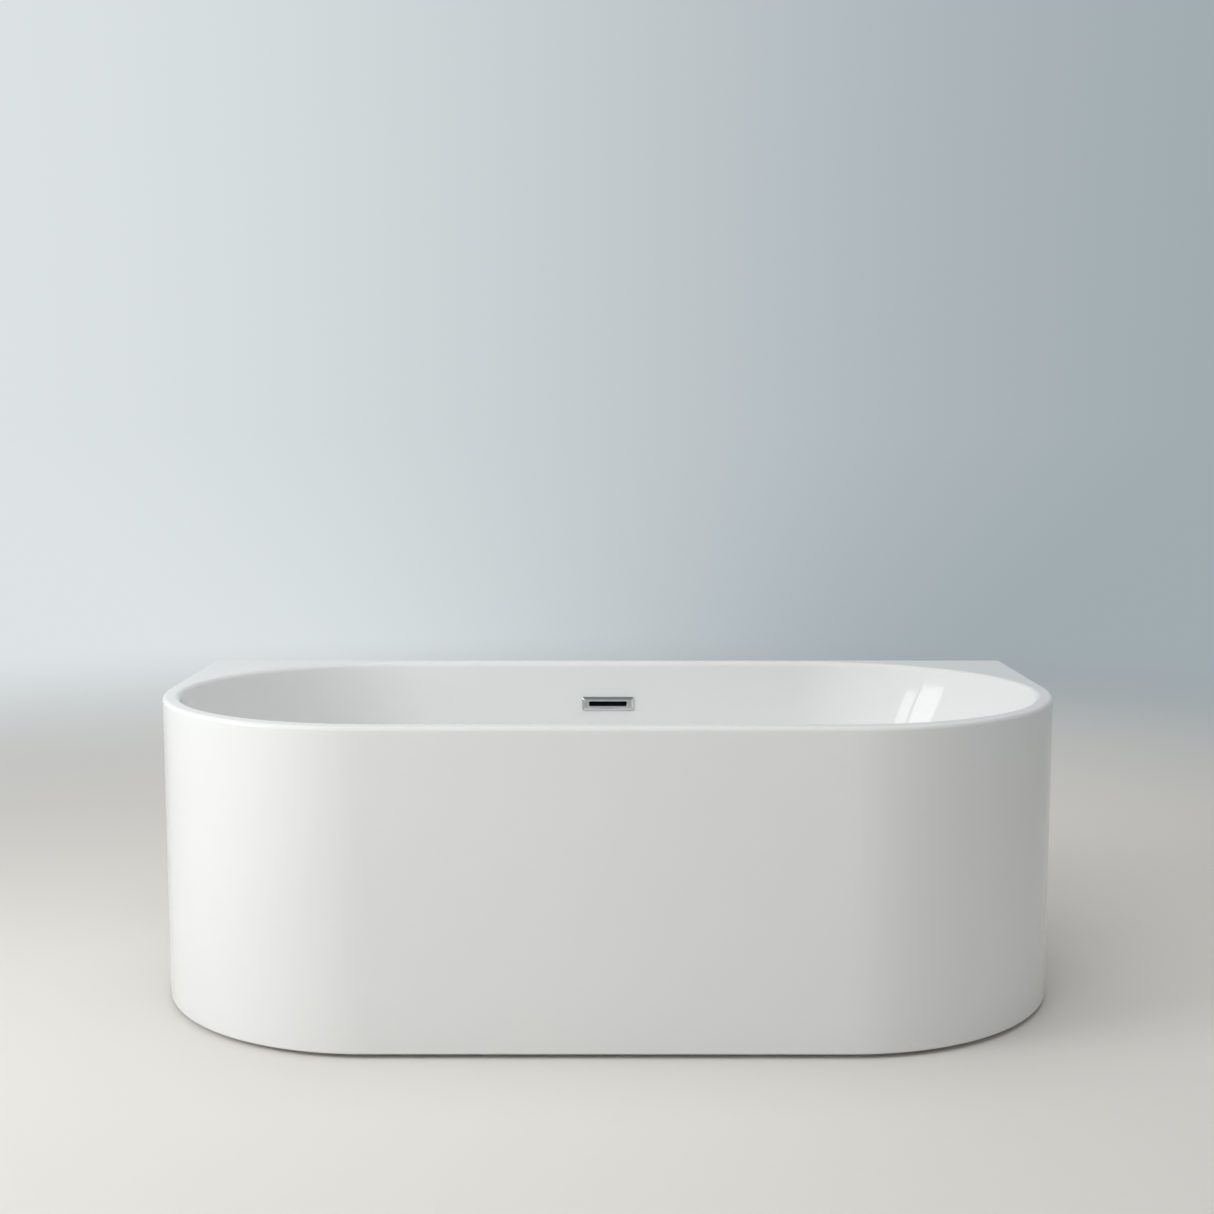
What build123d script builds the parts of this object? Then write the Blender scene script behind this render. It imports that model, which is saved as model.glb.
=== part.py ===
from build123d import *
import math
import os

# Bathtub that stands with its straight back against a wall.
# Sizes are in millimetres. X runs along the tub, Y towards the wall, Z up.
# The origin is on the floor under the middle of the tub.

# Overall size
LENGTH = 1700.0
DEPTH = 800.0
HEIGHT = 580.0
FRONT_RADIUS = 430.0
BACK_RADIUS = 10.0
FLOOR_GAP = 8.0

# Moulded walls
SHELL = 6.0
LIP = 16.0
RIM_FRONT = 38.0
RIM_SIDE = 34.0
RIM_BACK = 30.0
RIM_CORNER = 32.0
EDGE_OUTER = 8.0
EDGE_INNER = 12.0
SKIRT_WALL = 5.0
SKIRT_FLANGE = 35.0
SKIRT_EDGE = 4.0
BACK_RETURN = 60.0

# Basin, an oval with elliptical ends that narrows towards its floor
FLOOR_HEIGHT = 140.0
END_TAPER = 87.0
END_INSET = 180.0
SIDE_INSET = 42.0
FLOOR_RADIUS = 90.0

# Boards
BOARD = 18.0
BOARD_END_MARGIN = 136.0
BOARD_SIDE_MARGIN = 109.0
BOARD_CORNER = 120.0
BOARD_HOLE = 55.0
BOARD_SLOT = 50.0
DECK_BOARD = 12.0
DECK_BOARD_LENGTH = 270.0
DECK_BOARD_BREADTH = 190.0
BOARD_GAP = 1.0

# Leg bars and the plate of the middle foot
BAR_SPREAD = 0.27
BAR_END_GAP = 55.0
BAR_WIDTH = 40.0
BAR_HEIGHT = 25.0
BAR_WALL = 2.0
PLATE = 90.0
PLATE_THICKNESS = 4.0
PLATE_MARGIN = 61.0
PLATE_CORNER = 8.0
PLATE_SCREW = 33.0
SCREW_RADIUS = 2.5
SCREW_HEAD_RADIUS = 5.0
SCREW_HEAD = 3.0
SCREW_BITE = 14.0
SCREW_CLEARANCE = 0.1

# Levelling feet
FOOT_INSET = 55.0
STUD_RADIUS = 6.0
STUD_TOP = 14.0
PIN_RADIUS = 5.0
COLLAR_FLATS = 17.0
COLLAR_HEIGHT = 8.0
PAD_RADIUS = 25.0
PAD_HEIGHT = 14.0
PAD_FLOOR = 4.0
PAD_EDGE = 3.0
NUT_FLATS = 19.0
WELD_NUT = 10.0
LOCK_NUT = 7.0
RUNNING_FIT = 0.05
BODY_GAP = 0.3

# Brackets between the leg bars and the skirt
BRACKET = 3.0
BRACKET_WIDTH = 30.0
BRACKET_LEG = 27.0
BRACKET_TOE_GAP = 6.0
BOLT_RADIUS = 3.0
BOLT_HEAD_RADIUS = 5.5
BOLT_HEAD = 4.0

# Overflow on the back wall of the basin
OVERFLOW_DROP = 89.0
COVER_WIDTH = 110.0
COVER_HEIGHT = 29.0
COVER_DEPTH = 6.0
COVER_SLOPE = 5.5
COVER_RISE = 3.5
COVER_CORNER = 3.0
COVER_WALL = 4.0
COVER_SKIN = 2.0
COVER_SEAT = 0.2
SLOT_WIDTH = 80.0
SLOT_HEIGHT = 9.0
SLOT_CORNER = 2.5
SLOT_EASE = 1.8
SLEEVE_WALL = 2.0
SLEEVE_REACH = 7.0
SLEEVE_GAP = 1.0
RETAINER = 2.0
RETAINER_SCREW_X = 46.5
RETAINER_SCREW = 2.0
RETAINER_HEAD = 3.4
RETAINER_HEAD_HEIGHT = 1.6
GASKET = 2.0
GASKET_WIDTH = 116.0
GASKET_HEIGHT = 34.0
GASKET_CORNER = 4.0
HOUSING_FLANGE = 3.0
HOUSING_WIDTH = 100.0
HOUSING_HEIGHT = 30.0
HOUSING_DEPTH = 36.0
HOUSING_WALL = 2.5
HOUSING_BOSS = 4.5
PIPE_RADIUS = 12.5
PIPE_WALL = 2.0
PIPE_OFFSET = 23.0
PIPE_BEND = 60.0
SOCKET_WALL = 2.4
SOCKET_END = 46.0
SOCKET_GRIP = 22.0
SLIP_FIT = 0.1

# Drain, plug and waste body
DRAIN_Y = 40.0
DRAIN_RADIUS = 36.0
DRAIN_BORE = 20.0
DRAIN_TUBE = 23.0
DRAIN_TUBE_LENGTH = 28.0
DRAIN_SEAL = 1.5
SEAL_INSET = 1.0
DRAIN_RING = 3.0
SPIDER_HUB = 9.0
SPIDER_ARM = 4.0
SPIDER_HEIGHT = 6.0
SPIDER_LIFT = 2.0
CARTRIDGE_RADIUS = 6.0
CARTRIDGE_LENGTH = 20.0
CARTRIDGE_DROP = 14.0
STEM_RADIUS = 4.0
CLIP_RADIUS = 7.0
CLIP_HEIGHT = 3.0
PLUG_TRAVEL = 10.0
PLUG_RADIUS = 31.0
PLUG_HEIGHT = 6.0
PLUG_EDGE = 4.0
PLUG_SEAL = 2.2
PLUG_SEAL_RADIUS = 26.0
WASTE_GASKET = 3.0
WASTE_FLANGE = 5.0
WASTE_FLANGE_RADIUS = 40.0
WASTE_RADIUS = 32.0
WASTE_WALL = 4.0
WASTE_HEIGHT = 38.0
INLET_DROP = 26.0
INLET_REACH = 70.0
PIPE_GRIP = 25.0
PIPE_NUT_RADIUS = 18.0
PIPE_NUT_LENGTH = 14.0

# Trap and outlet
POT_RADIUS = 46.0
POT_WALL = 3.0
POT_BOTTOM = 12.0
POT_HEIGHT = 64.0
DIP_RADIUS = 25.0
DIP_WALL = 4.0
DIP_GAP = 6.0
COLLAR_WALL = 4.0
TRAP_COLLAR = 10.0
UNION_WALL = 7.0
OUTLET_RADIUS = 20.0
OUTLET_WALL = 3.0
OUTLET_DROP = 22.0
OUTLET_STUB = 22.0
OUTLET_BEND = 30.0
OUTLET_X = 108.0
ELBOW_LENGTH = 50.0
OUTLET_BACK_GAP = 8.0
SPIGOT_LENGTH = 60.0
STOP_RADIUS = 23.0
STOP_WIDTH = 3.0
OUTLET_NUT_RADIUS = 27.0
OUTLET_NUT_LENGTH = 16.0

# Derived positions
HALF_LENGTH = LENGTH / 2 - RIM_SIDE
HALF_BREADTH = (DEPTH - RIM_FRONT - RIM_BACK) / 2
BASIN_Y = (RIM_FRONT - RIM_BACK) / 2
BASIN_DEPTH = HEIGHT - FLOOR_HEIGHT
FLOOR_Z = FLOOR_HEIGHT
UNDERSIDE_Z = FLOOR_Z - SHELL
BOARD_HALF_LENGTH = HALF_LENGTH - END_INSET - BOARD_END_MARGIN
BOARD_HALF_BREADTH = HALF_BREADTH - SIDE_INSET - BOARD_SIDE_MARGIN
BOARD_Z = UNDERSIDE_Z - BOARD
BAR_Z = BOARD_Z - BAR_HEIGHT
BAR_X = BAR_SPREAD * LENGTH
BAR_LENGTH = DEPTH - 2 * BAR_END_GAP
FOOT_Y = BAR_LENGTH / 2 - FOOT_INSET
PLATE_Z = BOARD_Z - PLATE_THICKNESS
PLATE_Y = BASIN_Y - BOARD_HALF_BREADTH + PLATE_MARGIN
WALL_TILT = math.atan(SIDE_INSET / BASIN_DEPTH)
WALL_NORMAL = SHELL * math.cos(WALL_TILT)
OVERFLOW_Z = HEIGHT - OVERFLOW_DROP
OVERFLOW_Y = BASIN_Y + HALF_BREADTH - SIDE_INSET * OVERFLOW_DROP / BASIN_DEPTH
WASTE_TOP = UNDERSIDE_Z - WASTE_GASKET
CUP_TOP = WASTE_TOP - WASTE_FLANGE
CUP_BOTTOM = CUP_TOP - WASTE_HEIGHT
INLET_Z = UNDERSIDE_Z - INLET_DROP
POT_TOP = POT_BOTTOM + POT_HEIGHT
OUTLET_Z = POT_TOP - OUTLET_DROP
DRAIN_SEAT = FLOOR_Z + DRAIN_SEAL
DRAIN_TOP = DRAIN_SEAT + DRAIN_RING
DRAIN_BOTTOM = DRAIN_SEAT - DRAIN_TUBE_LENGTH
SPIDER_Z = DRAIN_BOTTOM + SPIDER_LIFT
CARTRIDGE_Z = SPIDER_Z + SPIDER_HEIGHT - CARTRIDGE_DROP
SLEEVE_WIDTH = SLOT_WIDTH + 2 * SLEEVE_WALL
SLEEVE_HEIGHT = SLOT_HEIGHT + 2 * SLEEVE_WALL
POCKET_WIDTH = COVER_WIDTH - 2 * COVER_WALL
POCKET_HEIGHT = COVER_HEIGHT - 2 * COVER_WALL

# The rim keeps its width across the front corners, and that sets how blunt the oval's ends are
CORNER_REACH = (FRONT_RADIUS - RIM_CORNER) / math.sqrt(2)
CORNER_X = LENGTH / 2 - FRONT_RADIUS + CORNER_REACH
CORNER_Y = FRONT_RADIUS - DEPTH / 2 - CORNER_REACH
CORNER_SHARE = math.sqrt(1 - ((CORNER_Y - BASIN_Y) / HALF_BREADTH) ** 2)
RIM_END = (HALF_LENGTH - CORNER_X) / (1 - CORNER_SHARE)
FLOOR_END = RIM_END - END_TAPER

# The overflow is drawn on the sloping back wall: its X runs along the tub, its Y up the wall and
# its Z out of the wall into the basin
OVERFLOW_PLANE = Plane(
    origin=(0, OVERFLOW_Y, OVERFLOW_Z),
    x_dir=(1, 0, 0),
    z_dir=(0, -math.cos(WALL_TILT), math.sin(WALL_TILT)),
)


def plan(inset=0.0):
    """Outline of the tub from above: large radii at the front, small ones at the wall."""
    sheet = Rectangle(LENGTH - 2 * inset, DEPTH - 2 * inset)
    front = sheet.vertices().sort_by(Axis.Y)[:2]
    sheet = fillet(front, FRONT_RADIUS - inset)
    back = sheet.vertices().sort_by(Axis.Y)[-2:]
    return fillet(back, max(BACK_RADIUS - inset, 1.0))


def front_edge(x, inset):
    """Y of the front of the outline at one place along the tub."""
    centre_x = LENGTH / 2 - FRONT_RADIUS
    radius = FRONT_RADIUS - inset
    side = max(abs(x) - centre_x, 0.0)
    return -DEPTH / 2 + FRONT_RADIUS - math.sqrt(radius**2 - side**2)


def oval(z, grow=0.0):
    """Horizontal section of the basin at one height, grown outwards by a wall thickness."""
    drop = (HEIGHT - z) / BASIN_DEPTH
    half_length = HALF_LENGTH - END_INSET * drop + grow
    half_breadth = HALF_BREADTH - SIDE_INSET * drop + grow
    end = RIM_END + (FLOOR_END - RIM_END) * drop + grow
    middle = half_length - end
    right = (middle, 0)
    left = (-middle, 0)
    outline = [
        EllipticalCenterArc(right, end, half_breadth, 0, arc_size=90),
        Line((middle, half_breadth), (-middle, half_breadth)),
        EllipticalCenterArc(left, end, half_breadth, 90, arc_size=90),
        EllipticalCenterArc(left, end, half_breadth, 180, arc_size=90),
        Line((-middle, -half_breadth), (middle, -half_breadth)),
        EllipticalCenterArc(right, end, half_breadth, 270, arc_size=90),
    ]
    return Pos(0, BASIN_Y, z) * make_face(outline)


def bowl(top, bottom, grow, radius):
    """Solid of the basin between two heights, with its floor edge rounded."""
    block = loft([oval(top, grow), oval(bottom, grow)], ruled=True)
    floor = block.faces().sort_by(Axis.Z)[0]
    return fillet(floor.edges(), radius)


def slab(sketch, bottom, top):
    """Sketch extruded between two heights."""
    return extrude(Pos(0, 0, bottom) * sketch, top - bottom)


def ring(outer, inner, bottom, top):
    """Tube about the Z axis between two heights."""
    return slab(Circle(outer) - Circle(inner), bottom, top)


def turned(*points):
    """Solid of revolution about the Z axis from radius and height pairs."""
    profile = Plane.XZ * make_face(Polyline(*points, close=True))
    return revolve(profile, Axis.Z)


def hexagon(flats):
    """Hexagon given across its flats."""
    return RegularPolygon(flats / 2, 6, major_radius=False)


def rod(radius, start, direction, length):
    """Cylinder from a point along a direction."""
    return extrude(Plane(origin=start, z_dir=direction) * Circle(radius), length)


def tube(path, outer, inner):
    """Pipe of constant bore along a path."""
    section = Plane(origin=path @ 0, z_dir=path % 0) * (Circle(outer) - Circle(inner))
    return sweep(section, path)


def on_wall(width, height, low, high, corner=1.0):
    """Rounded block on the overflow plane, between two distances from the wall."""
    return OVERFLOW_PLANE.offset(low) * extrude(RectangleRounded(width, height, corner), high - low)


def sleeve_hole(gap, low, high):
    """Opening for the cover's sleeve with a gap all round it."""
    return on_wall(SLEEVE_WIDTH + 2 * gap, SLEEVE_HEIGHT + 2 * gap, low, high)


def wall_point(x, up, out):
    """Point given on the overflow plane."""
    return OVERFLOW_PLANE.from_local_coords(Vector(x, up, out))


def wall_direction(up, out):
    """Direction given on the overflow plane."""
    return wall_point(0, up, out) - wall_point(0, 0, 0)


def retainer_rods(radius, low, high):
    """Two rods on the screw axes of the overflow."""
    along = wall_direction(0, 1)
    left = rod(radius, wall_point(-RETAINER_SCREW_X, 0, low), along, high - low)
    right = rod(radius, wall_point(RETAINER_SCREW_X, 0, low), along, high - low)
    return [left, right]


def group(solids):
    """Several separate solids kept as one node."""
    return Compound(children=solids)


def at_drain(shape):
    """Shape moved from the Z axis onto the axis of the drain."""
    return Pos(0, DRAIN_Y, 0) * shape


def basin_shell():
    """Deck, turned-down lip and basin as one moulding."""
    deck = slab(plan(), HEIGHT - SHELL, HEIGHT)
    lip = slab(plan() - plan(SHELL), HEIGHT - LIP, HEIGHT)
    top = deck + lip
    top = fillet(top.faces().sort_by(Axis.Z)[-1].edges(), EDGE_OUTER)
    pan = bowl(HEIGHT - SHELL / 2, UNDERSIDE_Z, SHELL, FLOOR_RADIUS + SHELL)
    cavity = bowl(HEIGHT + SHELL, FLOOR_Z, 0.0, FLOOR_RADIUS)
    shell = top + pan - cavity
    drain = at_drain(slab(Circle(DRAIN_TUBE + SLEEVE_GAP), UNDERSIDE_Z - SHELL, FLOOR_Z + SHELL))
    sleeve = sleeve_hole(SLEEVE_GAP, -2 * SHELL, SHELL)
    rods = retainer_rods(RETAINER_SCREW + SLIP_FIT, -2 * SHELL, SHELL)
    shell -= [drain, sleeve, *rods]
    opening = shell.faces().sort_by(Axis.Z)[-1].inner_wires()[0]
    return fillet(opening.edges(), EDGE_INNER)


def outer_skirt(bolts):
    """Skirt around the front and the ends, open at the back between two return flanges."""
    top = HEIGHT - LIP
    wall = slab(plan() - plan(SKIRT_WALL), FLOOR_GAP, top)
    foot = Pos(0, -SKIRT_FLANGE) * Rectangle(LENGTH, DEPTH)
    flange = slab((plan() - plan(SKIRT_FLANGE)) & foot, FLOOR_GAP, FLOOR_GAP + SKIRT_WALL)
    skirt = wall + flange
    outline = skirt.faces().sort_by(Axis.Z)[0].outer_wire()
    skirt = fillet(outline.edges(), SKIRT_EDGE)
    back = Rectangle(LENGTH - 2 * BACK_RETURN, 2 * SKIRT_FLANGE + 2 * BOARD_GAP)
    skirt -= slab(Pos(0, DEPTH / 2) * back, 0, HEIGHT)
    return skirt - bolts


def base_board(screws):
    """Board under the floor, notched from the drain to its back edge for the overflow pipe."""
    sheet = RectangleRounded(2 * BOARD_HALF_LENGTH, 2 * BOARD_HALF_BREADTH, BOARD_CORNER)
    sheet = Pos(0, BASIN_Y) * sheet
    sheet -= Pos(0, DRAIN_Y) * Circle(BOARD_HOLE)
    notch = Rectangle(BOARD_SLOT, DEPTH, align=(Align.CENTER, Align.MIN))
    sheet -= Pos(0, DRAIN_Y) * notch
    return slab(sheet, BOARD_Z, UNDERSIDE_Z) - screws


def deck_boards():
    """Left and right boards under the flat decks at the back corners."""
    top = HEIGHT - SHELL
    edge = SHELL + BOARD_GAP
    sheet = Rectangle(DECK_BOARD_LENGTH, DECK_BOARD_BREADTH, align=(Align.MAX, Align.MAX))
    sheet = Pos(LENGTH / 2 - edge, DEPTH / 2 - edge) * sheet
    sheet = sheet & plan(edge)
    board = slab(sheet, top - DECK_BOARD, top)
    board -= bowl(HEIGHT + SHELL, UNDERSIDE_Z, edge, FLOOR_RADIUS)
    board = board.solids().sort_by(Axis.X)[-1]
    return mirror(board, Plane.YZ), board


def foot(x, y, seat):
    """Pad, stud, weld nut and lock nut of one foot under a seat height."""
    here = Pos(x, y, 0)
    socket = slab(Circle(PIN_RADIUS + SLIP_FIT), PAD_FLOOR, PAD_HEIGHT)
    pad = slab(Circle(PAD_RADIUS), 0, PAD_HEIGHT)
    pad = fillet(pad.faces().sort_by(Axis.Z)[-1].edges(), PAD_EDGE)
    pad -= socket
    collar = PAD_HEIGHT + BODY_GAP
    stud = slab(Circle(PIN_RADIUS), PAD_FLOOR + SLIP_FIT, collar)
    stud += slab(hexagon(COLLAR_FLATS), collar, collar + COLLAR_HEIGHT)
    stud += slab(Circle(STUD_RADIUS), collar + COLLAR_HEIGHT, seat + STUD_TOP)
    nut = hexagon(NUT_FLATS) - Circle(STUD_RADIUS + RUNNING_FIT)
    weld_nut = slab(nut, seat - WELD_NUT, seat)
    lock_nut = slab(nut, seat - WELD_NUT - LOCK_NUT, seat - WELD_NUT)
    return here * pad, here * stud, here * weld_nut, here * lock_nut


def wood_screw(x, y, head_z):
    """Screw driven up into the base board, its head under a given height."""
    head = slab(Circle(SCREW_HEAD_RADIUS), head_z - SCREW_HEAD, head_z)
    shank = slab(Circle(SCREW_RADIUS), head_z - SCREW_HEAD, BOARD_Z + SCREW_BITE)
    return Pos(x, y, 0) * (head + shank)


def screw_hole(x, y, bottom, top):
    """Clearance hole for one wood screw."""
    return Pos(x, y, 0) * slab(Circle(SCREW_RADIUS + SCREW_CLEARANCE), bottom, top)


def leg_bar(x, cuts):
    """Rectangular steel tube across the tub under the base board."""
    outer = Rectangle(BAR_WIDTH, BAR_HEIGHT)
    inner = Rectangle(BAR_WIDTH - 2 * BAR_WALL, BAR_HEIGHT - 2 * BAR_WALL)
    start = Plane(origin=(x, -BAR_LENGTH / 2, BAR_Z + BAR_HEIGHT / 2), x_dir=(1, 0, 0), z_dir=(0, 1, 0))
    return extrude(start * (outer - inner), BAR_LENGTH) - cuts


def skirt_bracket(x):
    """Bent strip from the front end of a leg bar down to the skirt's flange, with its two bolts."""
    end = -BAR_LENGTH / 2
    toe = front_edge(abs(x) + BRACKET_WIDTH / 2, SKIRT_WALL) + BRACKET_TOE_GAP
    flange = FLOOR_GAP + SKIRT_WALL
    outline = Polyline(
        (toe, flange),
        (end, flange),
        (end, BAR_Z - BRACKET),
        (end + BRACKET_LEG, BAR_Z - BRACKET),
        (end + BRACKET_LEG, BAR_Z),
        (end - BRACKET, BAR_Z),
        (end - BRACKET, flange + BRACKET),
        (toe, flange + BRACKET),
        close=True,
    )
    side = Plane(origin=(x - BRACKET_WIDTH / 2, 0, 0), x_dir=(0, 1, 0), z_dir=(1, 0, 0))
    strip = extrude(side * make_face(outline), BRACKET_WIDTH)
    top_y = end + BRACKET_LEG / 2
    toe_y = (toe + front_edge(abs(x), SKIRT_FLANGE)) / 2
    low = BAR_Z - BRACKET
    top_bolt = slab(Circle(BOLT_HEAD_RADIUS), low - BOLT_HEAD, low)
    top_bolt += slab(Circle(BOLT_RADIUS), low, BAR_Z + 2 * BAR_WALL)
    high = flange + BRACKET
    toe_bolt = slab(Circle(BOLT_HEAD_RADIUS), high, high + BOLT_HEAD)
    toe_bolt += slab(Circle(BOLT_RADIUS), FLOOR_GAP, high)
    bolts = [Pos(x, top_y) * top_bolt, Pos(x, toe_y) * toe_bolt]
    return strip - bolts, bolts


def overflow_cover():
    """Slotted chrome cover with sloping edges and a sleeve that reaches through the wall."""
    front = COVER_SEAT + COVER_DEPTH
    edge = front - COVER_RISE
    cover = on_wall(COVER_WIDTH, COVER_HEIGHT, COVER_SEAT, edge, COVER_CORNER)
    base = RectangleRounded(COVER_WIDTH, COVER_HEIGHT, COVER_CORNER)
    top = RectangleRounded(COVER_WIDTH - 2 * COVER_SLOPE, COVER_HEIGHT - 2 * COVER_SLOPE, COVER_CORNER)
    cover += loft([OVERFLOW_PLANE.offset(edge) * base, OVERFLOW_PLANE.offset(front) * top], ruled=True)
    cover -= on_wall(POCKET_WIDTH, POCKET_HEIGHT, COVER_SEAT, front - COVER_SKIN)
    cover += on_wall(SLEEVE_WIDTH, SLEEVE_HEIGHT, -SLEEVE_REACH, front - COVER_SKIN)
    cover -= on_wall(SLOT_WIDTH, SLOT_HEIGHT, -SLEEVE_REACH, front, SLOT_CORNER)
    face = cover.faces().sort_by(Axis((0, 0, 0), wall_direction(0, 1)))[-1]
    return fillet(face.inner_wires()[0].edges(), SLOT_EASE)


def overflow_retainer():
    """Plate under the cover that the screws clamp to the wall."""
    plate = on_wall(POCKET_WIDTH - 2 * BODY_GAP, POCKET_HEIGHT - 2 * BODY_GAP, 0, RETAINER)
    plate -= sleeve_hole(BODY_GAP, 0, RETAINER)
    return plate - retainer_rods(RETAINER_SCREW + SLIP_FIT, -RETAINER, 2 * RETAINER)


def overflow_screws():
    """Two screws hidden under the cover."""
    reach = HOUSING_DEPTH / 2
    shanks = retainer_rods(RETAINER_SCREW, -reach, RETAINER)
    heads = retainer_rods(RETAINER_HEAD, RETAINER, RETAINER + RETAINER_HEAD_HEIGHT)
    return [shank + head for shank, head in zip(shanks, heads)]


def overflow_gasket():
    """Flat rubber seal between the wall and the housing."""
    low = -WALL_NORMAL - GASKET
    seal = on_wall(GASKET_WIDTH, GASKET_HEIGHT, low, -WALL_NORMAL, GASKET_CORNER)
    seal -= sleeve_hole(SLEEVE_GAP, low, -WALL_NORMAL)
    return seal - retainer_rods(RETAINER_SCREW + SLIP_FIT, low - GASKET, 0)


def overflow_housing():
    """Box behind the wall that gathers the water into the overflow pipe."""
    face = -WALL_NORMAL - GASKET
    back = face - HOUSING_FLANGE
    housing = on_wall(GASKET_WIDTH, GASKET_HEIGHT, back, face, GASKET_CORNER)
    housing += on_wall(HOUSING_WIDTH, HOUSING_HEIGHT, -HOUSING_DEPTH, back, GASKET_CORNER)
    down = wall_direction(-1, 0)
    collar = PIPE_RADIUS + SOCKET_WALL
    start = wall_point(0, 0, -PIPE_OFFSET)
    housing += rod(collar, start, down, SOCKET_END)
    housing -= on_wall(
        HOUSING_WIDTH - 2 * HOUSING_WALL,
        HOUSING_HEIGHT - 2 * HOUSING_WALL,
        -HOUSING_DEPTH + HOUSING_WALL,
        back,
    )
    housing -= sleeve_hole(SLEEVE_GAP, back, face)
    housing += retainer_rods(HOUSING_BOSS, -HOUSING_DEPTH / 2 - HOUSING_WALL, back)
    housing -= retainer_rods(RETAINER_SCREW + SLIP_FIT, -HOUSING_DEPTH / 2 - SLIP_FIT, face)
    housing -= rod(PIPE_RADIUS - PIPE_WALL, start, down, SOCKET_END)
    grip = wall_point(0, SOCKET_GRIP - SOCKET_END, -PIPE_OFFSET)
    housing -= rod(PIPE_RADIUS + SLIP_FIT, grip, down, SOCKET_GRIP)
    return housing


def overflow_pipe():
    """Pipe that follows the back wall down and turns under the floor to the waste body."""
    start = wall_point(0, SOCKET_GRIP - SOCKET_END - SLIP_FIT, -PIPE_OFFSET)
    fall = (start.Z - INLET_Z) * math.tan(WALL_TILT)
    corner = (0, start.Y - fall, INLET_Z)
    end = (0, DRAIN_Y + INLET_REACH - PIPE_GRIP, INLET_Z)
    path = FilletPolyline(start, corner, end, radius=PIPE_BEND)
    return tube(path, PIPE_RADIUS, PIPE_RADIUS - PIPE_WALL)


def overflow_pipe_nut():
    """Nut that grips the overflow pipe at the waste body."""
    start = Plane(origin=(0, DRAIN_Y + INLET_REACH, INLET_Z), x_dir=(1, 0, 0), z_dir=(0, 1, 0))
    section = RegularPolygon(PIPE_NUT_RADIUS, 8) - Circle(PIPE_RADIUS + SLIP_FIT)
    return extrude(start * section, PIPE_NUT_LENGTH)


def drain_flange():
    """Chrome drain with a three-armed guide for the plug."""
    flange = turned(
        (DRAIN_BORE, DRAIN_BOTTOM),
        (DRAIN_TUBE, DRAIN_BOTTOM),
        (DRAIN_TUBE, DRAIN_SEAT),
        (DRAIN_RADIUS, DRAIN_SEAT),
        (DRAIN_RADIUS, DRAIN_SEAT + DRAIN_RING / 3),
        (DRAIN_RADIUS - DRAIN_RING, DRAIN_TOP),
        (DRAIN_TUBE, DRAIN_TOP),
        (DRAIN_BORE, DRAIN_TOP - DRAIN_RING),
    )
    reach = (DRAIN_BORE + DRAIN_TUBE) / 2
    arm = Rectangle(reach, SPIDER_ARM, align=(Align.MIN, Align.CENTER))
    spider = Circle(SPIDER_HUB)
    for turn in (90, 210, 330):
        spider += Rot(0, 0, turn) * arm
    spider -= Circle(CARTRIDGE_RADIUS)
    return at_drain(flange + slab(spider, SPIDER_Z, SPIDER_Z + SPIDER_HEIGHT))


def waste_body():
    """Cup under the drain with the overflow inlet at its back and a dip tube into the trap."""
    thread = DRAIN_TUBE + RUNNING_FIT
    cup = WASTE_RADIUS - WASTE_WALL
    dip_bottom = POT_BOTTOM + DIP_GAP
    dip = DIP_RADIUS - DIP_WALL
    body = turned(
        (thread, WASTE_TOP),
        (WASTE_FLANGE_RADIUS, WASTE_TOP),
        (WASTE_FLANGE_RADIUS, CUP_TOP),
        (WASTE_RADIUS, CUP_TOP),
        (WASTE_RADIUS, CUP_BOTTOM),
        (DIP_RADIUS, CUP_BOTTOM),
        (DIP_RADIUS, dip_bottom),
        (dip, dip_bottom),
        (dip, CUP_BOTTOM + WASTE_WALL),
        (cup, CUP_BOTTOM + WASTE_WALL),
        (cup, DRAIN_BOTTOM),
        (thread, DRAIN_BOTTOM),
    )
    wall = (0, (WASTE_RADIUS + cup) / 2, INLET_Z)
    middle = (0, 0, INLET_Z)
    reach = INLET_REACH - wall[1]
    body += rod(PIPE_RADIUS + SOCKET_WALL, wall, (0, 1, 0), reach)
    body -= rod(PIPE_RADIUS - PIPE_WALL, middle, (0, 1, 0), INLET_REACH)
    mouth = (0, INLET_REACH - PIPE_GRIP - SLIP_FIT, INLET_Z)
    body -= rod(PIPE_RADIUS + SLIP_FIT, mouth, (0, 1, 0), PIPE_GRIP + SLIP_FIT)
    return at_drain(body)


def plug():
    """Click plug: cap, seal, stem and the clip that stops it coming out."""
    seal_bottom = DRAIN_TOP + BODY_GAP
    cap_bottom = seal_bottom + PLUG_SEAL
    cap = slab(Circle(PLUG_RADIUS), cap_bottom, cap_bottom + PLUG_HEIGHT)
    cap = fillet(cap.faces().sort_by(Axis.Z)[-1].edges(), PLUG_EDGE)
    seal = ring(PLUG_SEAL_RADIUS, STEM_RADIUS, seal_bottom, cap_bottom)
    stem_bottom = CARTRIDGE_Z - PLUG_TRAVEL - BODY_GAP - CLIP_HEIGHT
    stem = slab(Circle(STEM_RADIUS), stem_bottom, cap_bottom)
    clip = ring(CLIP_RADIUS, STEM_RADIUS, stem_bottom, stem_bottom + CLIP_HEIGHT)
    return at_drain(cap), at_drain(seal), at_drain(stem), at_drain(clip)


def click_cartridge():
    """Sleeve in the drain's guide that the plug's stem slides and latches in."""
    top = CARTRIDGE_Z + CARTRIDGE_LENGTH
    return at_drain(ring(CARTRIDGE_RADIUS, STEM_RADIUS + RUNNING_FIT, CARTRIDGE_Z, top))


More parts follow.
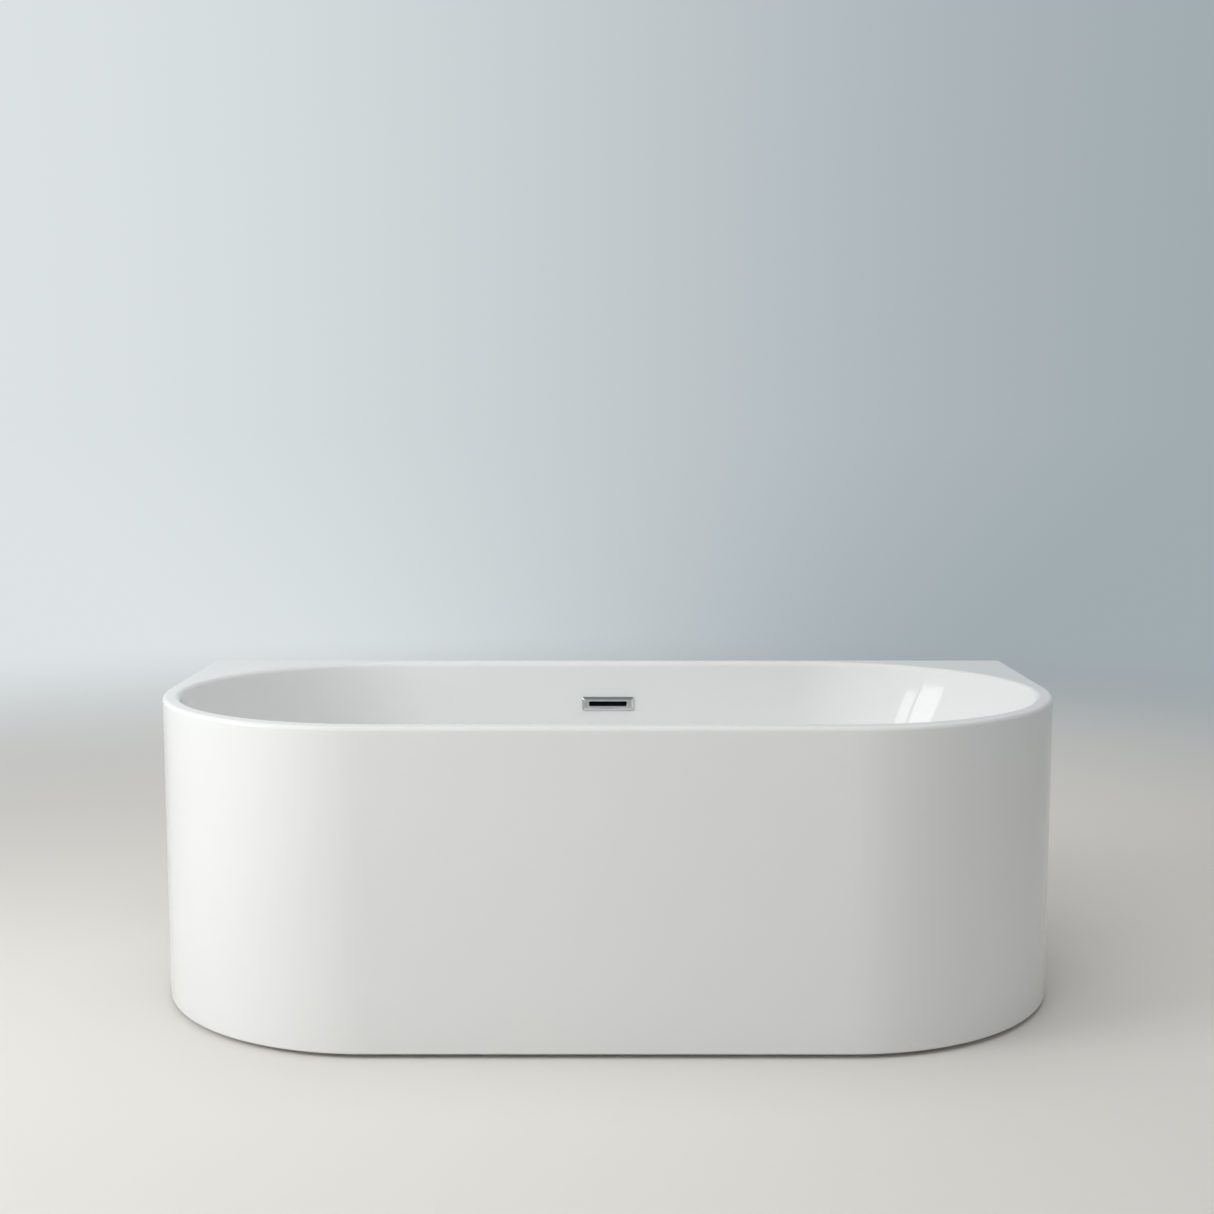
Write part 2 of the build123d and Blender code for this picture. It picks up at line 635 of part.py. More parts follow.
def trap_pot():
    """Shallow trap: a closed pot with a collar for the dip tube and a side outlet."""
    collar = DIP_RADIUS + SLIP_FIT
    pot = turned(
        (0, POT_BOTTOM),
        (POT_RADIUS, POT_BOTTOM),
        (POT_RADIUS, POT_TOP),
        (collar + COLLAR_WALL, POT_TOP),
        (collar + COLLAR_WALL, POT_TOP + TRAP_COLLAR),
        (collar, POT_TOP + TRAP_COLLAR),
        (collar, POT_TOP - POT_WALL),
        (POT_RADIUS - POT_WALL, POT_TOP - POT_WALL),
        (POT_RADIUS - POT_WALL, POT_BOTTOM + POT_WALL),
        (0, POT_BOTTOM + POT_WALL),
    )
    wall = (POT_RADIUS - POT_WALL, 0, OUTLET_Z)
    stub = (DIP_RADIUS + DIP_GAP, 0, OUTLET_Z)
    pot += rod(OUTLET_RADIUS, wall, (1, 0, 0), POT_WALL + OUTLET_STUB)
    pot -= rod(OUTLET_RADIUS - OUTLET_WALL, stub, (1, 0, 0), POT_RADIUS + OUTLET_STUB)
    return at_drain(pot)


def trap_union_nut():
    """Nut that clamps the pot's collar to the waste body."""
    inner = DIP_RADIUS + SLIP_FIT + COLLAR_WALL + SLIP_FIT
    section = RegularPolygon(inner + UNION_WALL, 12) - Circle(inner)
    return at_drain(slab(section, POT_TOP, CUP_BOTTOM))


def outlet():
    """Elbow, its two nuts and the pipe that leaves towards the wall."""
    start_x = POT_RADIUS + OUTLET_STUB
    elbow_end = DRAIN_Y + ELBOW_LENGTH
    corner = (OUTLET_X, DRAIN_Y, OUTLET_Z)
    path = FilletPolyline(
        (start_x, DRAIN_Y, OUTLET_Z),
        corner,
        (OUTLET_X, elbow_end, OUTLET_Z),
        radius=OUTLET_BEND,
    )
    bore = OUTLET_RADIUS - OUTLET_WALL
    elbow = tube(path, OUTLET_RADIUS, bore)
    pipe_end = DEPTH / 2 - OUTLET_BACK_GAP
    line = Line((OUTLET_X, elbow_end, OUTLET_Z), (OUTLET_X, pipe_end, OUTLET_Z))
    pipe = tube(line, OUTLET_RADIUS, bore)
    stop_start = (OUTLET_X, pipe_end - SPIGOT_LENGTH - STOP_WIDTH, OUTLET_Z)
    stop = rod(STOP_RADIUS, stop_start, (0, 1, 0), STOP_WIDTH)
    stop -= rod(bore + OUTLET_WALL / 2, stop_start, (0, 1, 0), STOP_WIDTH)
    pipe += stop
    section = Circle(OUTLET_NUT_RADIUS) - Circle(OUTLET_RADIUS + RUNNING_FIT)
    half = OUTLET_NUT_LENGTH / 2
    first = Plane(origin=(start_x - half, DRAIN_Y, OUTLET_Z), z_dir=(1, 0, 0))
    second = Plane(origin=(OUTLET_X, elbow_end - half, OUTLET_Z), z_dir=(0, 1, 0))
    nuts = [extrude(first * section, OUTLET_NUT_LENGTH), extrude(second * section, OUTLET_NUT_LENGTH)]
    return elbow, nuts, pipe


def build():
    """All pieces by the name of their node."""
    nodes = {}

    feet = {
        "foot_front_left": (-BAR_X, -FOOT_Y, BAR_Z),
        "foot_front_right": (BAR_X, -FOOT_Y, BAR_Z),
        "foot_back_left": (-BAR_X, FOOT_Y, BAR_Z),
        "foot_back_right": (BAR_X, FOOT_Y, BAR_Z),
        "foot_centre": (0.0, PLATE_Y, PLATE_Z),
    }
    weld_nuts = []
    lock_nuts = []
    stud_holes = []
    for name, (x, y, seat) in feet.items():
        pad, stud, weld_nut, lock_nut = foot(x, y, seat)
        nodes[name + "_pad"] = pad
        nodes[name + "_stud"] = stud
        weld_nuts.append(weld_nut)
        lock_nuts.append(lock_nut)
        hole = slab(Circle(STUD_RADIUS + BODY_GAP), seat - BAR_WALL, seat + STUD_TOP + FLOOR_GAP)
        stud_holes.append(Pos(x, y, 0) * hole)
    nodes["foot_weld_nuts"] = group(weld_nuts)
    nodes["foot_lock_nuts"] = group(lock_nuts)

    screws = []
    holes = []
    for x in (-BAR_X, BAR_X):
        for share in (-0.7, -0.3, 0.3, 0.7):
            y = share * BOARD_HALF_BREADTH
            screws.append(wood_screw(x, y, BAR_Z))
            holes.append(screw_hole(x, y, BAR_Z - SCREW_HEAD, BOARD_Z + SCREW_BITE))
    for x in (-PLATE_SCREW, PLATE_SCREW):
        for y in (PLATE_Y - PLATE_SCREW, PLATE_Y + PLATE_SCREW):
            screws.append(wood_screw(x, y, PLATE_Z))
            holes.append(screw_hole(x, y, PLATE_Z - SCREW_HEAD, BOARD_Z + SCREW_BITE))
    nodes["leg_screws"] = group(screws)

    left_strip, left_bolts = skirt_bracket(-BAR_X)
    right_strip, right_bolts = skirt_bracket(BAR_X)
    bolts = left_bolts + right_bolts
    nodes["skirt_brackets"] = group([left_strip, right_strip])
    nodes["bracket_bolts"] = group(bolts)

    nodes["leg_bar_left"] = leg_bar(-BAR_X, stud_holes + holes + bolts)
    nodes["leg_bar_right"] = leg_bar(BAR_X, stud_holes + holes + bolts)
    plate = slab(Pos(0, PLATE_Y) * RectangleRounded(PLATE, PLATE, PLATE_CORNER), PLATE_Z, BOARD_Z)
    nodes["centre_foot_plate"] = plate - stud_holes - holes
    nodes["base_board"] = base_board(holes + stud_holes)
    nodes["deck_board_left"], nodes["deck_board_right"] = deck_boards()

    nodes["basin_shell"] = basin_shell()
    nodes["outer_skirt"] = outer_skirt(bolts)

    nodes["overflow_cover"] = overflow_cover()
    nodes["overflow_retainer"] = overflow_retainer()
    nodes["overflow_screws"] = group(overflow_screws())
    nodes["overflow_gasket"] = overflow_gasket()
    nodes["overflow_housing"] = overflow_housing()
    nodes["overflow_pipe"] = overflow_pipe()
    nodes["overflow_pipe_nut"] = overflow_pipe_nut()

    nodes["drain_flange"] = drain_flange()
    nodes["drain_seal"] = at_drain(
        ring(DRAIN_RADIUS - SEAL_INSET, DRAIN_TUBE + SLEEVE_GAP, FLOOR_Z, DRAIN_SEAT)
    )
    nodes["waste_gasket"] = at_drain(
        ring(WASTE_FLANGE_RADIUS - SEAL_INSET, DRAIN_TUBE + SLEEVE_GAP, WASTE_TOP, UNDERSIDE_Z)
    )
    nodes["waste_body"] = waste_body()
    nodes["click_cartridge"] = click_cartridge()
    cap, seal, stem, clip = plug()
    nodes["plug_cap"] = cap
    nodes["plug_seal"] = seal
    nodes["plug_stem"] = stem
    nodes["plug_clip"] = clip

    nodes["trap_pot"] = trap_pot()
    nodes["trap_union_nut"] = trap_union_nut()
    elbow, nuts, outlet_pipe = outlet()
    nodes["outlet_elbow"] = elbow
    nodes["outlet_nuts"] = group(nuts)
    nodes["outlet_pipe"] = outlet_pipe
    return nodes


os.makedirs("parts", exist_ok=True)
for node, shape in build().items():
    export_step(shape, f"parts/{node}.step")
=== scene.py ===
"""Looks of a bathtub that stands with its straight back against a wall.

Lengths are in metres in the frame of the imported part: X runs along the tub, Y towards the wall and Z up. The
origin is on the floor under the middle of the tub.
"""

from __future__ import annotations

import logging
import math
from dataclasses import dataclass
from enum import Enum, IntEnum
from functools import partialmethod
from typing import Any, Iterable, Optional, Sequence, Union

import bmesh
import bpy
from mathutils import Matrix, Vector

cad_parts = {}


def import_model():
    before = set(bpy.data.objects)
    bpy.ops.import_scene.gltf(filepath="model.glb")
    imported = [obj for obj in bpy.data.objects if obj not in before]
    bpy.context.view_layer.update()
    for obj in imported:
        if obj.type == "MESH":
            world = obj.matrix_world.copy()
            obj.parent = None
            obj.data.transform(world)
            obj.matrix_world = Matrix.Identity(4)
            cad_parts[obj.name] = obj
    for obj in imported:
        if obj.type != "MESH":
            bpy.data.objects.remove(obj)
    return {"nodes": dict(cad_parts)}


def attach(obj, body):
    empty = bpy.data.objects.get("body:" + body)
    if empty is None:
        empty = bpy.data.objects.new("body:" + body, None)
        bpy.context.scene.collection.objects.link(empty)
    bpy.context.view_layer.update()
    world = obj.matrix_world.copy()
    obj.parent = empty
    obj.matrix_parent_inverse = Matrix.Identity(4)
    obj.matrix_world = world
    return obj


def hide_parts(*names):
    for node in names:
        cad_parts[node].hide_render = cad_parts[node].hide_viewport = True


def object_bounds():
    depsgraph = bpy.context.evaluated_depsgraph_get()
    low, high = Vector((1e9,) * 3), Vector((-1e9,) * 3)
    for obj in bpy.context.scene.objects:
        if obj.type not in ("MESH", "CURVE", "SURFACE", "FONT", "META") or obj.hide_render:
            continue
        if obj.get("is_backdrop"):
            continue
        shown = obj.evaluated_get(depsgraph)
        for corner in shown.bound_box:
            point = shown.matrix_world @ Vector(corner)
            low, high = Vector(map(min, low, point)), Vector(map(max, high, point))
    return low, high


log = logging.getLogger("bathtub")

Pair = tuple[float, float]
Spot = tuple[float, float, float]
Piece = bpy.types.Object

# Bodies that pieces ride on, apart from the feet's own.
TUB = "tub"
PLUG = "plug"

# Edges that turn by more degrees than this stay crisp, where a piece says nothing else.
CRISP = 32.0


class Slot(Enum):
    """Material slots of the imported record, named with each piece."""

    ACRYLIC = "acrylic"
    GALVANISED = "galvanised_steel"
    ZINC = "zinc_plated_steel"
    FOOT = "foot_plastic"
    CHROME = "chrome"
    DARK = "dark_plastic"
    PIPE = "pipe_plastic"
    NUT = "nut_plastic"


class Side(IntEnum):
    """Faces of a formed sheet, in the order of its two finishes."""

    GLOSS = 0
    BACK = 1


def linear(code: str) -> tuple[float, float, float, float]:
    """Turn a screen colour into the values that shaders take.

    Args:
        code: Six hexadecimal digits, red first.

    Returns:
        Linear red, green and blue with full opacity.
    """
    shares = [int(code[i : i + 2], 16) / 255 for i in (0, 2, 4)]
    levels = [s / 12.92 if s <= 0.04045 else ((s + 0.055) / 1.055) ** 2.4 for s in shares]
    return (levels[0], levels[1], levels[2], 1.0)


class Wire:
    """A node socket that Python's operators can be used on."""

    def __init__(self, sheet: Sheet, socket: bpy.types.NodeSocket) -> None:
        """Keep the socket and the tree that it belongs to."""
        self.sheet = sheet
        self.socket = socket

    def _first(self, operation: str, other: Value) -> Wire:
        """Result of a Math node with this value first."""
        return self.sheet.wire("ShaderNodeMath", {"operation": operation}, {0: self, 1: other})

    def _second(self, operation: str, other: Value) -> Wire:
        """Result of a Math node with this value second."""
        return self.sheet.wire("ShaderNodeMath", {"operation": operation}, {0: other, 1: self})

    __add__ = partialmethod(_first, "ADD")
    __radd__ = partialmethod(_second, "ADD")
    __sub__ = partialmethod(_first, "SUBTRACT")
    __rsub__ = partialmethod(_second, "SUBTRACT")
    __mul__ = partialmethod(_first, "MULTIPLY")
    __rmul__ = partialmethod(_second, "MULTIPLY")
    __truediv__ = partialmethod(_first, "DIVIDE")
    __rtruediv__ = partialmethod(_second, "DIVIDE")
    __mod__ = partialmethod(_first, "FLOORED_MODULO")
    __rmod__ = partialmethod(_second, "FLOORED_MODULO")
    __gt__ = partialmethod(_first, "GREATER_THAN")
    __lt__ = partialmethod(_first, "LESS_THAN")


Value = Union[Wire, float]


class Sheet:
    """A node tree that nodes are added to with their settings and sockets in one go."""

    def __init__(self, tree: bpy.types.NodeTree) -> None:
        """Keep the tree."""
        self.tree = tree

    def node(self, kind: str, settings: dict[str, Any], sockets: dict[Any, Any]) -> bpy.types.Node:
        """Add a node.

        Args:
            kind: Blender's name of the node type.
            settings: Properties to set first, with the stops of a ramp under "stops".
            sockets: Values or wires by the socket's number, identifier or name.

        Returns:
            The new node.
        """
        node = self.tree.nodes.new(kind)
        for name, value in settings.items():
            if name == "stops":
                self._stops(node, value)
            else:
                setattr(node, name, value)
        for key, value in sockets.items():
            self.set(self.socket(node.inputs, key), value)
        return node

    def set(self, socket: bpy.types.NodeSocket, value: Any) -> None:
        """Link a wire to a socket, or set a plain value on it.

        Args:
            socket: Input socket of a node.
            value: Wire or plain value.
        """
        if isinstance(value, Wire):
            self.tree.links.new(value.socket, socket)
        else:
            socket.default_value = value

    def wire(self, kind: str, settings: dict[str, Any], sockets: dict[Any, Any], output: Any = 0) -> Wire:
        """Add a node and hand back one of its outputs."""
        node = self.node(kind, settings, sockets)
        return Wire(self, self.socket(node.outputs, output))

    @staticmethod
    def socket(sockets: Any, key: Any) -> bpy.types.NodeSocket:
        """Find a socket by its number, its identifier or its name."""
        same = [s for s in sockets if s.identifier == key]
        return same[0] if same else sockets[key]

    @staticmethod
    def _stops(node: bpy.types.Node, stops: Sequence[Pair]) -> None:
        """Set the two stops of a ramp.

        Args:
            node: The ramp.
            stops: Pairs of place and grey level.
        """
        for element, (place, level) in zip(node.color_ramp.elements, stops):
            element.position = place
            element.color = (level, level, level, 1.0)

    def blend(self, first: Any, second: Any, share: Value) -> Wire:
        """Mix two colours by a share of the second."""
        sockets = {"Factor_Float": share, "A_Color": first, "B_Color": second}
        return self.wire("ShaderNodeMix", {"data_type": "RGBA"}, sockets, "Result_Color")

    def axis(self, vector: Wire, name: str) -> Wire:
        """One of the three parts of a vector."""
        return self.wire("ShaderNodeSeparateXYZ", {}, {"Vector": vector}, name)

    def fade(self, value: Wire, low: float, high: float) -> Wire:
        """Rise smoothly from nought at a low value to one at a high value."""
        sockets = {"Value": value, "From Min": low, "From Max": high}
        return self.wire("ShaderNodeMapRange", {"interpolation_type": "SMOOTHSTEP"}, sockets)


class Paint(Sheet):
    """Node tree of one material around its Principled shader."""

    def __init__(self, name: str) -> None:
        """Make the material and find its shader.

        Args:
            name: Name of the material.
        """
        self.material = bpy.data.materials.new(name)
        self.material.use_nodes = True
        super().__init__(self.material.node_tree)
        self.shader = self.tree.nodes["Principled BSDF"]

    def feed(self, **inputs: Any) -> None:
        """Give the shader wires or plain values, each under its socket's name with underscores for spaces."""
        for name, value in inputs.items():
            self.set(self.shader.inputs[name.replace("_", " ")], value)

    def place(self, scale: Spot = (1, 1, 1), turn: Spot = (0, 0, 0)) -> Wire:
        """Object coordinates, turned and then stretched.

        Args:
            scale: Stretch along each axis.
            turn: Angles about the axes in radians.

        Returns:
            The coordinates.
        """
        spot = self.wire("ShaderNodeTexCoord", {}, {}, "Object")
        turned = self.wire("ShaderNodeMapping", {}, {"Vector": spot, "Rotation": turn})
        return self.wire("ShaderNodeMapping", {}, {"Vector": turned, "Scale": scale})

    def noise(self, place: Wire, scale: float, detail: float = 3.0, rough: float = 0.5) -> Wire:
        """Soft noise between nought and one, with so many cells to a metre."""
        sockets = {"Vector": place, "Scale": scale, "Detail": detail, "Roughness": rough}
        return self.wire("ShaderNodeTexNoise", {}, sockets, "Fac")

    def clouds(self, scale: float) -> Wire:
        """Cloudy noise that finishes are mottled with."""
        return self.noise(self.place(), scale, detail=4.0, rough=0.6)

    def steps(self, value: Wire, low: float, high: float) -> Wire:
        """Black up to a low value, white from a high one, and grey between."""
        return self.wire("ShaderNodeValToRGB", {"stops": ((low, 0.0), (high, 1.0))}, {"Fac": value}, "Color")


@dataclass(frozen=True)
class Finish:
    """A surface with two close tints, a gloss that wanders with them and a fine relief."""

    name: str
    colour: str
    tint: str
    roughness: float
    swing: float
    mottle: float
    grain: float
    depth: float
    metallic: float = 0.0
    ior: float = 1.5

    def material(self) -> bpy.types.Material:
        """Build the material once.

        Returns:
            The material of this finish.
        """
        made = bpy.data.materials.get(self.name)
        if made:
            return made
        paint = Paint(self.name)
        share = self.share(paint)
        paint.feed(
            Base_Color=paint.blend(linear(self.colour), linear(self.tint), share),
            Roughness=self.roughness + self.swing * (share - 0.5),
            Metallic=self.metallic,
            IOR=self.ior,
        )
        sockets = {"Height": self.height(paint, share), "Distance": self.depth, "Strength": 1.0}
        paint.feed(Normal=paint.wire("ShaderNodeBump", {}, sockets, "Normal"))
        return paint.material

    def share(self, paint: Paint) -> Wire:
        """Where the second tint shows."""
        return paint.clouds(self.mottle)

    def height(self, paint: Paint, share: Wire) -> Wire:
        """Height map of the fine relief."""
        return paint.noise(paint.place(), self.grain, detail=2.0)


@dataclass(frozen=True)
class GlossSheet(Finish):
    """Formed acrylic sheet: clean gloss with a faint haze and a trace of orange peel."""

    haze: Pair = (0.3, 0.7)

    def share(self, paint: Paint) -> Wire:
        """Broad, soft clouds with no direction of their own."""
        return paint.steps(paint.noise(paint.place(), self.mottle), *self.haze)


@dataclass(frozen=True)
class GlassFibre(Finish):
    """Chopped glass strands under resin, as sprayed on the back of the sheet."""

    strand: Spot = (0.07, 1.0, 1.0)
    turns: tuple[Spot, ...] = ((0.4, 0.9, 0.3), (1.1, -0.5, 1.4), (-0.7, 0.2, 2.3), (0.2, 1.9, 0.8))
    strand_edge: Pair = (0.56, 0.66)
    layer_share: float = 0.35
    strand_share: float = 0.75
    resin_share: float = 0.35

    def share(self, paint: Paint) -> Wire:
        """Short strands laid in several directions under a cloudy resin.

        Args:
            paint: Material that the nodes are added to.

        Returns:
            The strands, stronger where one lies on the surface.
        """
        strands: Value = 0.0
        for turn in self.turns:
            layer = paint.noise(paint.place(self.strand, turn), self.grain, detail=1.5)
            strands = paint.steps(layer, *self.strand_edge) * self.layer_share + strands
        return strands * self.strand_share + paint.clouds(self.mottle) * self.resin_share

    def height(self, paint: Paint, share: Wire) -> Wire:
        """The strands stand up under the resin."""
        return share


@dataclass(frozen=True)
class Spangle(Finish):
    """Hot-dip zinc: crystals of different brightness."""

    bloom: float = 0.3
    bloom_share: float = 0.35
    crystal_share: float = 0.65

    def share(self, paint: Paint) -> Wire:
        """A grey level for each crystal, with a little bloom over it.

        Args:
            paint: Material that the nodes are added to.

        Returns:
            The darkness of the zinc.
        """
        sockets = {"Vector": paint.place(), "Scale": self.mottle}
        crystal = paint.wire("ShaderNodeTexVoronoi", {}, sockets, "Color")
        return crystal * self.crystal_share + paint.clouds(self.mottle * self.bloom) * self.bloom_share


@dataclass(frozen=True)
class Plywood(Finish):
    """Birch plywood: long grain on the faces and dark glue lines on the edges."""

    ply: float = 0.003
    glue: float = 0.9
    fine: Spot = (0.06, 1.0, 1.0)
    broad: Spot = (0.10, 1.0, 0.3)
    broader: float = 0.12
    fine_part: float = 0.6
    broad_part: float = 0.4
    grain_edge: Pair = (0.35, 0.68)
    grain_share: float = 0.55
    ply_share: float = 0.25
    glue_share: float = 0.2

    def share(self, paint: Paint) -> Wire:
        """Grain along the board, with every other ply and the glue lines darker.

        Args:
            paint: Material that the nodes are added to.

        Returns:
            The darkness of the wood.
        """
        fine = paint.noise(paint.place(self.fine), self.mottle, detail=6.0, rough=0.65)
        broad = paint.noise(paint.place(self.broad), self.mottle * self.broader)
        grain = paint.steps(fine * self.fine_part + broad * self.broad_part, *self.grain_edge)
        layer = paint.axis(paint.place(), "Z") / self.ply
        other_ply = layer % 2.0 > 1.0
        glue_line = layer % 1.0 > self.glue
        return grain * self.grain_share + other_ply * self.ply_share + glue_line * self.glue_share

    def height(self, paint: Paint, share: Wire) -> Wire:
        """The dark grain lies a little lower."""
        return 1.0 - share


ACRYLIC = GlossSheet("gloss_acrylic", "f0f1f0", "eeefef", 0.045, 0.03, 2.6, 150.0, 0.000003, ior=1.49)
RESIN = GlassFibre("glass_fibre_resin", "d3cdb8", "efece2", 0.40, 0.16, 9.0, 210.0, 0.00022)
CHROME = Finish("polished_chrome", "d9dbdd", "cfd1d4", 0.07, 0.05, 40.0, 900.0, 0.000003, metallic=1.0)
GALVANISED = Spangle("galvanised_steel", "b4b9bc", "8f9599", 0.36, 0.16, 130.0, 700.0, 0.00001, metallic=1.0)
ZINC = Finish("zinc_plate", "c3c6c9", "b2b09f", 0.28, 0.10, 70.0, 900.0, 0.00001, metallic=1.0)
BIRCH = Plywood("birch_plywood", "d8bf95", "a98757", 0.58, 0.14, 240.0, 400.0, 0.00012)
PAD_PLASTIC = Finish("pad_plastic", "26282a", "2f3133", 0.46, 0.10, 50.0, 2600.0, 0.00005)
DARK_PLASTIC = Finish("dark_plastic", "4e5154", "5a5d60", 0.38, 0.10, 40.0, 2400.0, 0.00004)
PIPE_PLASTIC = Finish("pipe_plastic", "e4e4e0", "d8d8d2", 0.33, 0.10, 25.0, 1800.0, 0.00002)
NUT_PLASTIC = Finish("nut_plastic", "c9cac8", "bcbdbb", 0.36, 0.10, 35.0, 2000.0, 0.00003)
RUBBER = Finish("seal_rubber", "1d1e1f", "292a2b", 0.66, 0.14, 60.0, 2200.0, 0.00006)


# Shorter edges are dropped, and nearer points become one.
TOUCH = 1e-7
WELD = 1e-6

# A corner whose half angle is wider is left as it is, and an easing takes up this share of a side at most.
STRAIGHT = math.radians(88)
SIDE_SHARE = 0.45


def eased(profile: Sequence[Pair], radius: float, steps: int = 3, closed: bool = True) -> list[Pair]:
    """Round the corners of a profile.

    Args:
        profile: Corners in order.
        radius: Radius of each corner, cut down where the sides are short.
        steps: Divisions of each arc.
        closed: Whether the last corner joins the first.

    Returns:
        Corners of the rounded profile.
    """
    corners = [Vector(p) for p in profile]
    last = len(corners) - 1
    out: list[Pair] = []
    for i, here in enumerate(corners):
        back = corners[i - 1] - here
        ahead = corners[(i + 1) % len(corners)] - here
        end = not closed and i in (0, last)
        if end or min(back.length, ahead.length) < TOUCH or back.angle(ahead) / 2 > STRAIGHT:
            out.append((here.x, here.y))
            continue
        reach = radius / math.tan(back.angle(ahead) / 2)
        reach = min(reach, SIDE_SHARE * back.length, SIDE_SHARE * ahead.length)
        first = here + back.normalized() * reach
        second = here + ahead.normalized() * reach
        for k in range(steps + 1):
            t = k / steps
            spot = first * (1 - t) ** 2 + here * (2 * t * (1 - t)) + second * t**2
            out.append((spot.x, spot.y))
    return out


def rounded_box(width: float, height: float, corner: float, steps: int = 5) -> list[Pair]:
    """Points of a rectangle with rounded corners.

    Args:
        width: Whole width.
        height: Whole height.
        corner: Corner radius.
        steps: Divisions of each corner.

    Returns:
        Points in order from the first corner on the right.
    """
    points: list[Pair] = []
    for turn, (sx, sy) in enumerate(((1, 1), (-1, 1), (-1, -1), (1, -1))):
        centre_x = sx * (width / 2 - corner)
        centre_y = sy * (height / 2 - corner)
        for k in range(steps + 1):
            angle = math.pi / 2 * (turn + k / steps)
            points.append((centre_x + corner * math.cos(angle), centre_y + corner * math.sin(angle)))
    return points


def round_turn(steps: int) -> list[Pair]:
    """Cosine and sine at equal steps of a whole turn, the start not repeated."""
    turns = [2 * math.pi * k / steps for k in range(steps)]
    return [(math.cos(a), math.sin(a)) for a in turns]


def quarter_turn(steps: int) -> list[Pair]:
    """Cosine and sine at equal steps of a quarter turn, both ends included."""
    turns = [math.pi / 2 * k / steps for k in range(steps + 1)]
    return [(math.cos(a), math.sin(a)) for a in turns]


class Draft:
    """Points and faces of a piece while it is being drawn."""

    HEX_STEPS = 48
    HEX_SEAT = 0.95
    HEX_SLOPE = 0.5

    def __init__(self) -> None:
        """Start empty."""
        self.points: list[Vector] = []
        self.faces: list[tuple[int, ...]] = []
        self.kinds: list[int] = []

    def ring(self, points: Iterable[Sequence[float]]) -> list[int]:
        """Add points.

        Args:
            points: Places of the points.

        Returns:
            Their numbers.
        """
        start = len(self.points)
        self.points += [Vector(p) for p in points]
        return list(range(start, len(self.points)))

    def face(self, corners: Sequence[int], kind: int = 0) -> None:
        """Add one face of a kind of finish."""
        self.faces.append(tuple(corners))
        self.kinds.append(kind)

    def bridge(
        self, first: Sequence[int], second: Sequence[int], kind: int = 0, skip: Optional[int] = None
    ) -> None:
        """Join two rings of equal length with four-sided faces.

        Args:
            first: Point numbers of one ring.
            second: Point numbers of the other ring.
            kind: Finish of the faces.
            skip: Place along the rings that stays open, if one does.
        """
        for i in range(len(first)):
            j = (i + 1) % len(first)
            if i != skip:
                self.face((first[i], first[j], second[j], second[i]), kind)

    def loft(self, rings: Sequence[Sequence[int]], hollow: bool = False) -> None:
        """Join a run of rings to a closed shape.

        Args:
            rings: Rings of equal length.
            hollow: Whether the last ring joins the first, as round a hole. Otherwise both ends are capped.
        """
        for first, second in zip(rings, rings[1:]):
            self.bridge(first, second)
        if hollow:
            self.bridge(rings[-1], rings[0])
        else:
            self.face(rings[0])
            self.face(rings[-1])

    def lathe(
        self, profile: Sequence[Pair], steps: int, hollow: bool = False, centre: Pair = (0.0, 0.0)
    ) -> None:
        """Turn a profile of radius and height about an upright axis.

        Args:
            profile: Radius and height pairs.
            steps: Divisions of the turn.
            hollow: Whether the profile closes on itself. Otherwise its ends are capped.
            centre: Place of the axis.
        """
        rings = []
        for radius, z in profile:
            turn = [(centre[0] + radius * cos, centre[1] + radius * sin, z) for cos, sin in round_turn(steps)]
            rings.append(self.ring(turn))
        self.loft(rings, hollow)

    def hexagon(self, flats: float, low: float, high: float, bore: float = 0.0) -> None:
        """Draw an upright six-sided nut or head with turned-down corners.

        Args:
            flats: Width across the flats.
            low: Height of its underside.
            high: Height of its top.
            bore: Radius of the hole, or nought for a head.
        """
        sixth = math.pi / 3
        turns = [2 * math.pi / self.HEX_STEPS * k for k in range(self.HEX_STEPS)]
        reach = [flats / 2 / math.cos((a + sixth / 2) % sixth - sixth / 2) for a in turns]
        seat = self.HEX_SEAT * flats / 2
        slope = self.HEX_SLOPE
        rows = [(seat, low, 0.0), (0.0, low, slope), (0.0, high, -slope), (seat, high, 0.0)]
        if bore:
            rows = [(bore, low, 0.0)] + rows + [(bore, high, 0.0)]
        rings = []
        for radius, height, tilt in rows:
            spots = []
            for angle, far in zip(turns, reach):
                out = radius or far
                spots.append((out * math.cos(angle), out * math.sin(angle), height + tilt * (far - seat)))
            rings.append(self.ring(spots))
        self.loft(rings, bool(bore))

    def mesh(self, name: str) -> bpy.types.Mesh:
        """Make a bare mesh.

        Args:
            name: Name of the mesh.

        Returns:
            The mesh, with no finish and no shading.
        """
        mesh = bpy.data.meshes.new(name)
        mesh.from_pydata(self.points, [], self.faces)
        return mesh

    def piece(self, name: str, *finishes: Finish, sharp: float = CRISP) -> Piece:
        """Make the object.

        Args:
            name: Name of the piece.
            finishes: Finishes by kind of face.
            sharp: Edges that turn by more degrees than this stay crisp.

        Returns:
            The finished object at the origin.
        """
        mesh = self.mesh(name)
        for finish in finishes:
            mesh.materials.append(finish.material())
        mesh.polygons.foreach_set("material_index", self.kinds)
        return settle(mesh, name, sharp)


